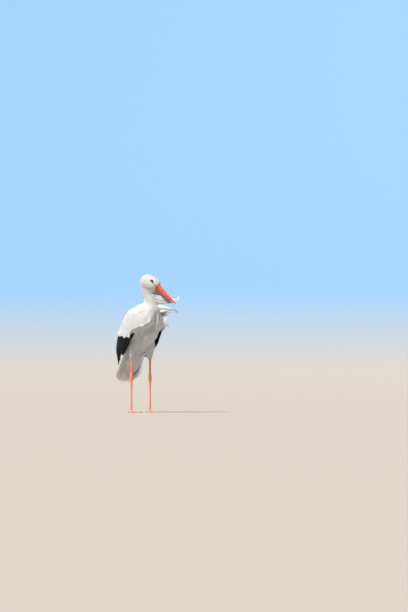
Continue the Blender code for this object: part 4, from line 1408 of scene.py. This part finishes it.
for half, way_up in (("upper", 1.0), ("lower", -1.0)):
    piece, share, angle = turned("bill_%s_mandible" % half, around=64, along=120)
    taper = 1.0 - BILL_TAPER * share**1.3
    taper *= np.sqrt(np.clip(1.0 - fade(share, BILL_TIP_FROM, 0.05) ** 2, 0, 1))
    taper *= np.clip(share / 0.01, 0, 1) ** 0.5
    gape = 1.0 + (0.16 if half == "lower" else 0.05) * np.exp(-(((share - GAPE_AT) / GAPE_SPREAD) ** 2))
    side_share = np.cos(angle)
    height = np.sin(angle)
    over = height > 0
    rise = np.where(over, np.abs(height) ** (0.90 if half == "upper" else 0.80), 0.0)
    ridge = 0.05 * np.exp(-((side_share / 0.20) ** 2)) if half == "upper" else 0.0
    lip = 1.0 + 0.035 * np.exp(-((height / 0.18) ** 2)) if half == "upper" else 0.99
    across_bill = BILL_HALF_WIDTH * taper * gape * side_share * lip
    up_bill = BILL_HALF_DEPTH * taper * gape * (rise + ridge * over) + MANDIBLE_GAP
    along_nostril = (share - NOSTRIL_SHARE) / NOSTRIL_LENGTH
    slit = np.exp(-(along_nostril**4)) * np.exp(-(((height - NOSTRIL_HEIGHT) / 0.05) ** 2))
    slit *= over * (1.0 if half == "upper" else 0.0)
    across_bill -= np.sign(side_share) * slit * NOSTRIL_DEPTH
    rows = np.array(bill_start) + np.outer(share * BILL_LENGTH, np.array(bill_way))
    rows += np.outer(across_bill, np.array(bill_side)) + np.outer(up_bill * way_up, np.array(bill_up))
    set_shape(piece, rows)
    keep_value(piece.data, "reach", fade(share, 0.15, 0.85))
    # The dark mask is painted shade: the nostril slit and a band along the seam between the mandibles.
    line = np.clip(1.0 - np.abs(height) / 0.07, 0, 1) * 0.75 * np.clip((share - 0.10) * 20, 0, 1)
    keep_value(piece.data, "dark", np.clip(slit * 1.3 + line, 0, 1))
    corner_points = values_of(piece.data.loops, "vertex_index", kind=np.int32)
    grain_uv = np.stack([np.abs(side_share)[corner_points], share[corner_points]], axis=1)
    piece.data.uv_layers[0].name = "Horn"
    piece.data.uv_layers["Horn"].uv.foreach_set("vector", grain_uv.ravel())
    dress(piece, horn, "bill_horn", "bill_" + half)


# ---- Eyes -------------------------------------------------------------------------------------
# Dark wet eyeballs set into bare dark skin, each behind a rim of lids that hugs the ball. The bare
# skin is a thin sheet of its own that narrows from the eye along the lores to the bill.

BALL_SIZE = 0.985
LID_THICKNESS = 0.0009
LID_MIDDLE = math.radians(60.0)
LID_SPAN = math.radians(9.0)
GAZE = (0.34, 0.10, 1.0)
EYE_RAY = 0.04
EYE_DOME = 0.0040
BARE_STEPS = 90
BARE_ACROSS = 24
BARE_RISE = 0.0011
BARE_SINK = 0.0003
BARE_THICKNESS = 0.0006

eye_finish, shader, tree = new_material("wet_eye", (0.012, 0.007, 0.005), 0.05)
iris = tree.nodes.new("ShaderNodeValToRGB")
ramp = iris.color_ramp
ramp.elements[0].position, ramp.elements[0].color = 0.0, (0.002, 0.002, 0.002, 1)
ramp.elements[1].position, ramp.elements[1].color = 1.0, (0.010, 0.008, 0.007, 1)
for position, tone in ((0.27, (0.002, 0.002, 0.002, 1)), (0.31, (0.055, 0.024, 0.010, 1)),
                       (0.48, (0.028, 0.012, 0.006, 1)), (0.56, (0.005, 0.004, 0.004, 1))):
    ramp.elements.new(position).color = tone
tree.links.new(kept_value(tree, "off_pupil"), iris.inputs["Fac"])
tree.links.new(iris.outputs["Color"], shader.inputs["Base Color"])
shader.inputs["Coat Weight"].default_value = 0.7
shader.inputs["Coat Roughness"].default_value = 0.03

lid_finish, shader, tree = new_material("bare_dark_skin", (0.02, 0.016, 0.015), 0.55)
_, fine = uneven_tones(tree, 180.0)
tree.links.new(mix_colours(tree, fine, *DARK_SKIN), shader.inputs["Base Color"])
add_relief(tree, shader, fine, strength=0.5, distance=0.0003)


def on_ball(polar, around):
    """The directions at these angles off the gaze and round it."""
    return np.stack([np.sin(polar) * np.cos(around), np.sin(polar) * np.sin(around), np.cos(polar)], axis=1)


for side_name, side in SIDES:
    low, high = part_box("eye_" + side_name)
    centre, radius = (low + high) / 2, (high.z - low.z) / 2
    gaze = (in_head(GAZE[0], GAZE[1], side * GAZE[2]) - HEAD_CENTRE).normalized()
    surface, _, _, _ = skin_tree.ray_cast(centre + gaze * EYE_RAY, -gaze, 2 * EYE_RAY)
    centre = surface - gaze * (radius - EYE_DOME)
    level = (Vector(bill_way) - gaze * gaze.dot(Vector(bill_way))).normalized()
    over = gaze.cross(level)
    axes = np.array([tuple(level), tuple(over), tuple(gaze)])

    ball, share, angle = turned("eyeball_" + side_name, around=48, along=40)
    turn = share * math.pi
    set_shape(ball, np.array(centre) + on_ball(turn, angle) @ axes * radius * BALL_SIZE)
    keep_value(ball.data, "off_pupil", np.clip(turn / (math.pi / 2), 0, 1))
    dress(ball, eye_finish, "eye_glass", "eye_" + side_name)

    nothing_selected()
    bpy.ops.mesh.primitive_torus_add(major_segments=72, minor_segments=20, major_radius=1.0, minor_radius=0.3)
    lids = bpy.context.object
    lids.name = "lids_" + side_name
    points = points_of(lids.data)
    around = np.arctan2(points[:, 1], points[:, 0])
    section = np.arctan2(points[:, 2], np.hypot(points[:, 0], points[:, 1]) - 1.0)
    almond = 1.0 + 0.13 * np.cos(2 * around)
    polar = (LID_MIDDLE - LID_SPAN * np.cos(section)) * almond
    thick = LID_THICKNESS * (0.55 + 0.45 * np.cos(section))
    off = radius * BALL_SIZE + thick * (1 + np.sin(section))
    set_shape(lids, np.array(centre) + (on_ball(polar, around) @ axes) * off[:, None])
    dress(lids, lid_finish, "eye_glass")

    # The bare skin: a thin sheet over the skin from the eye's back corner to the bill's base.
    eye_ahead, eye_up, _ = (float(row[0]) for row in head_shares([tuple(centre)]))
    nothing_selected()
    bpy.ops.mesh.primitive_grid_add(x_subdivisions=BARE_STEPS, y_subdivisions=BARE_ACROSS, size=2.0)
    sheet = bpy.context.object
    sheet.name = "bare_skin_" + side_name
    points = points_of(sheet.data)
    share, wide = (points[:, 0] + 1) / 2, points[:, 1]
    back = eye_ahead - EYE_CORNER - BARE_RADIUS
    run = LORE_AHEAD - back
    ahead = back + run * share
    level = eye_up + (LORE_UP - eye_up) * fade(ahead, eye_ahead, LORE_AHEAD - eye_ahead) ** 1.3
    round_eye = np.sqrt(np.clip(1 - ((ahead - eye_ahead + EYE_CORNER / 2) / (BARE_RADIUS * 1.25)) ** 2, 0, 1))
    half = np.maximum(BARE_RADIUS * 0.95 * round_eye, LORE_RADIUS * fade(ahead, eye_ahead, 0.01))
    up = level + wide * half
    rows = []
    for a_share, u_share, edge in zip(ahead, up, np.abs(wide)):
        start = in_head(a_share, u_share, side * 0.06)
        inwards = (in_head(a_share, u_share, 0.0) - start).normalized()
        spot, facing, _, _ = skin_tree.ray_cast(start, inwards, 0.055)
        if spot is None:
            spot, facing, _, _ = skin_tree.find_nearest(in_head(a_share, u_share, side * 0.010))
        rows.append(tuple(spot + facing * (BARE_RISE * (1 - edge**6) - BARE_SINK)))
    set_shape(sheet, np.array(rows))
    apply_modifier(sheet, "thickness", "SOLIDIFY", thickness=BARE_THICKNESS)
    dress(sheet, lid_finish, "eye_glass")


# ---- Legs -------------------------------------------------------------------------------------
# Bare legs in small six-sided scales: shank, knobbly hock and tarsus in one skin from the thigh
# feathers down to the foot.

SCALES_AROUND = 9
SCALE_HEIGHT = 0.0036
SCALE_RELIEF = 0.00038
ROW_HEIGHT = 0.866
LEG_INTO_THIGH = 0.012
LEG_END_SHARE = 0.004
# The leg's outline: height above the floor, half width and half depth.
LEG_PROFILE = (
    (0.335, 0.0064, 0.0068), (0.300, 0.0060, 0.0064), (0.270, 0.0056, 0.0060), (0.234, 0.0062, 0.0072),
    (0.218, 0.0092, 0.0112), (0.202, 0.0096, 0.0114), (0.184, 0.0068, 0.0078), (0.150, 0.0052, 0.0058),
    (0.080, 0.0052, 0.0060), (0.030, 0.0062, 0.0074), (0.012, 0.0076, 0.0088), (0.005, 0.0060, 0.0070),
)


def six_sided(first, second):
    """How near each place is to the border of its six-sided cell: 0 on it, towards 1 inside."""
    row = np.round(second / ROW_HEIGHT)
    distances = []
    for step in (-1, 0, 1):
        level = row + step
        shift = 0.5 * (level % 2)
        column = np.round(first - shift)
        for side_step in (-1, 0, 1):
            centre = column + side_step + shift
            distances.append(np.hypot(first - centre, second - level * ROW_HEIGHT))
    distances = np.sort(np.array(distances), axis=0)
    return np.clip((distances[1] - distances[0]) * 2.2, 0, 1)


leg_finish, shader, tree = new_material("scaly_leg_skin", (0.78, 0.17, 0.08), 0.5)
tone, fine = uneven_tones(tree, 28.0)
colour = mix_colours(tree, tone, (0.82, 0.115, 0.055), (0.76, 0.21, 0.12))
colour = mix_colours(tree, scaled(tree, kept_value(tree, "low"), 0.6), colour, (0.84, 0.27, 0.21))
colour = mix_colours(tree, scaled(tree, kept_value(tree, "groove"), 0.55), colour, (0.52, 0.10, 0.06))
colour = mix_colours(tree, scaled(tree, fine, 0.25), colour, (0.88, 0.45, 0.33))
tree.links.new(colour, shader.inputs["Base Color"])
add_relief(tree, shader, fine, strength=0.35, distance=0.0003)

profile = np.array(LEG_PROFILE)[::-1]
for side_name, side in SIDES:
    low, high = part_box("tarsus_" + side_name)
    middle = (low + high) / 2
    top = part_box("shank_" + side_name)[1].z + LEG_INTO_THIGH
    piece, share, angle = turned("leg_" + side_name, around=54, along=330)
    bottom = profile[0, 0]
    z = top + (bottom - top) * share
    smooth = 0.5 - 0.5 * np.cos(np.clip(np.minimum(share, 1 - share) / LEG_END_SHARE, 0, 1) * math.pi)
    wide = np.interp(z, profile[:, 0], profile[:, 1]) * smooth
    deep = np.interp(z, profile[:, 0], profile[:, 2]) * smooth
    inside = six_sided(angle / (2 * math.pi) * SCALES_AROUND, z / SCALE_HEIGHT)
    relief = SCALE_RELIEF * (np.sqrt(inside) - 0.8) * smooth
    x = middle.x + np.cos(angle) * (wide + relief)
    y = middle.y + np.sin(angle) * (deep + relief)
    set_shape(piece, np.stack([x, y, z], axis=1))
    keep_value(piece.data, "groove", (1 - inside) ** 2)
    keep_value(piece.data, "low", fade(-z, -0.19, 0.12))
    dress(piece, leg_finish, "leg_skin", "shank_" + side_name, "hock_" + side_name, "tarsus_" + side_name)


# ---- Feet -------------------------------------------------------------------------------------
# Each foot is one scaly skin over pad, toes and the short webs between the front toes, with cross
# plates on the toes' tops. The claws are short flat nails of dark horn.

TOES = ("inner", "middle", "outer", "hind")
FOOT_CELL = 0.0009
FOOT_GROW = 0.0002
FOOT_SMOOTHING = 4
TOE_CORE_HEIGHT = 0.003
PLATE_LENGTH = 0.0038
PLATE_RELIEF = 0.00035
PEBBLE_SIZE = 0.0032
PEBBLE_RELIEF = 0.00012
FLOOR_CLEARANCE = 0.0001
NAIL_ROOT = 0.003
NAIL_HALF_WIDTH = 0.0027
NAIL_HALF_DEPTH = 0.0021
NAIL_HEIGHT = 0.0036
NAIL_FALL = 0.0016

claw_finish, shader, tree = new_material("claw_horn", (0.05, 0.03, 0.026), 0.4)
tone, fine = uneven_tones(tree, 150.0)
colour = mix_colours(tree, tone, (0.030, 0.018, 0.016), (0.13, 0.075, 0.06))
tree.links.new(colour, shader.inputs["Base Color"])
rough = math_node(tree, "ADD", scaled(tree, fine, 0.3), 0.25)
tree.links.new(rough, shader.inputs["Roughness"])


def solid_points(name):
    """The points of a node's solid."""
    bm = solid_of(name)
    points = np.array([tuple(vertex.co) for vertex in bm.verts])
    bm.free()
    return points


for side_name, side in SIDES:
    names = ["foot_" + side_name] + ["toe_%s_%s" % (toe, side_name) for toe in TOES]
    foot = grown_together("foot_skin_" + side_name, names, FOOT_GROW, FOOT_CELL, FOOT_SMOOTHING)
    points = points_of(foot.data)
    normals = normals_of(foot.data)
    leg_low, leg_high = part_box("tarsus_" + side_name)
    foot_low, foot_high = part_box("foot_" + side_name)
    hub = np.array((leg_low.x / 2 + leg_high.x / 2, ((foot_low + foot_high) / 2).y, 0.0))
    nearest = np.full(len(points), np.inf)
    along_toe = np.zeros(len(points))
    for toe in TOES:
        toe_points = solid_points("toe_%s_%s" % (toe, side_name))
        far = toe_points[np.argmax(np.linalg.norm(toe_points[:, :2] - hub[:2], axis=1))]
        distance, along = segment_distance(points, hub, (far[0], far[1], TOE_CORE_HEIGHT))
        closer = distance < nearest
        nearest[closer] = distance[closer]
        along_toe[closer] = along[closer] * np.linalg.norm(far[:2] - hub[:2])
    plate = np.abs((along_toe / PLATE_LENGTH) % 1.0 - 0.5) * 2
    on_top = fade(normals[:, 2], 0.05, 0.25) * fade(along_toe, 0.012, 0.004)
    groove = fade(plate, 0.72, 0.28) * on_top
    pebble = smooth_values(points, PEBBLE_SIZE, 400) * (1 - on_top)
    points = points - normals * (PLATE_RELIEF * groove - PEBBLE_RELIEF * pebble)[:, None]
    points[:, 2] = np.maximum(points[:, 2], FLOOR_CLEARANCE)
    foot.data.vertices.foreach_set("co", points.ravel())
    foot.data.shade_smooth()
    keep_value(foot.data, "groove", groove)
    keep_value(foot.data, "low", np.ones(len(points)))
    dress(foot, leg_finish, "leg_skin", *names)

    for toe in TOES:
        node = "claw_%s_%s" % (toe, side_name)
        claw_points = solid_points(node)
        reach = np.linalg.norm(claw_points[:, :2] - hub[:2], axis=1)
        way = unit((claw_points[np.argmax(reach)] - hub)[None, :2])[0]
        length = reach.max() - reach.min() + NAIL_ROOT
        start = hub[:2] + way * (reach.min() - NAIL_ROOT)
        nail, share, angle = turned("nail_%s_%s" % (toe, side_name), around=20, along=28)
        size = np.sqrt(np.clip(1 - share**2.2, 0, 1)) * np.clip(share / 0.04, 0, 1) ** 0.5
        offset = np.cos(angle) * NAIL_HALF_WIDTH * size
        x = start[0] + way[0] * length * share - way[1] * offset
        y = start[1] + way[1] * length * share + way[0] * offset
        z = NAIL_HEIGHT - NAIL_FALL * share**2 + np.sin(angle) * NAIL_HALF_DEPTH * size
        set_shape(nail, np.stack([x, y, z], axis=1))
        dress(nail, claw_finish, "claw_horn", node)
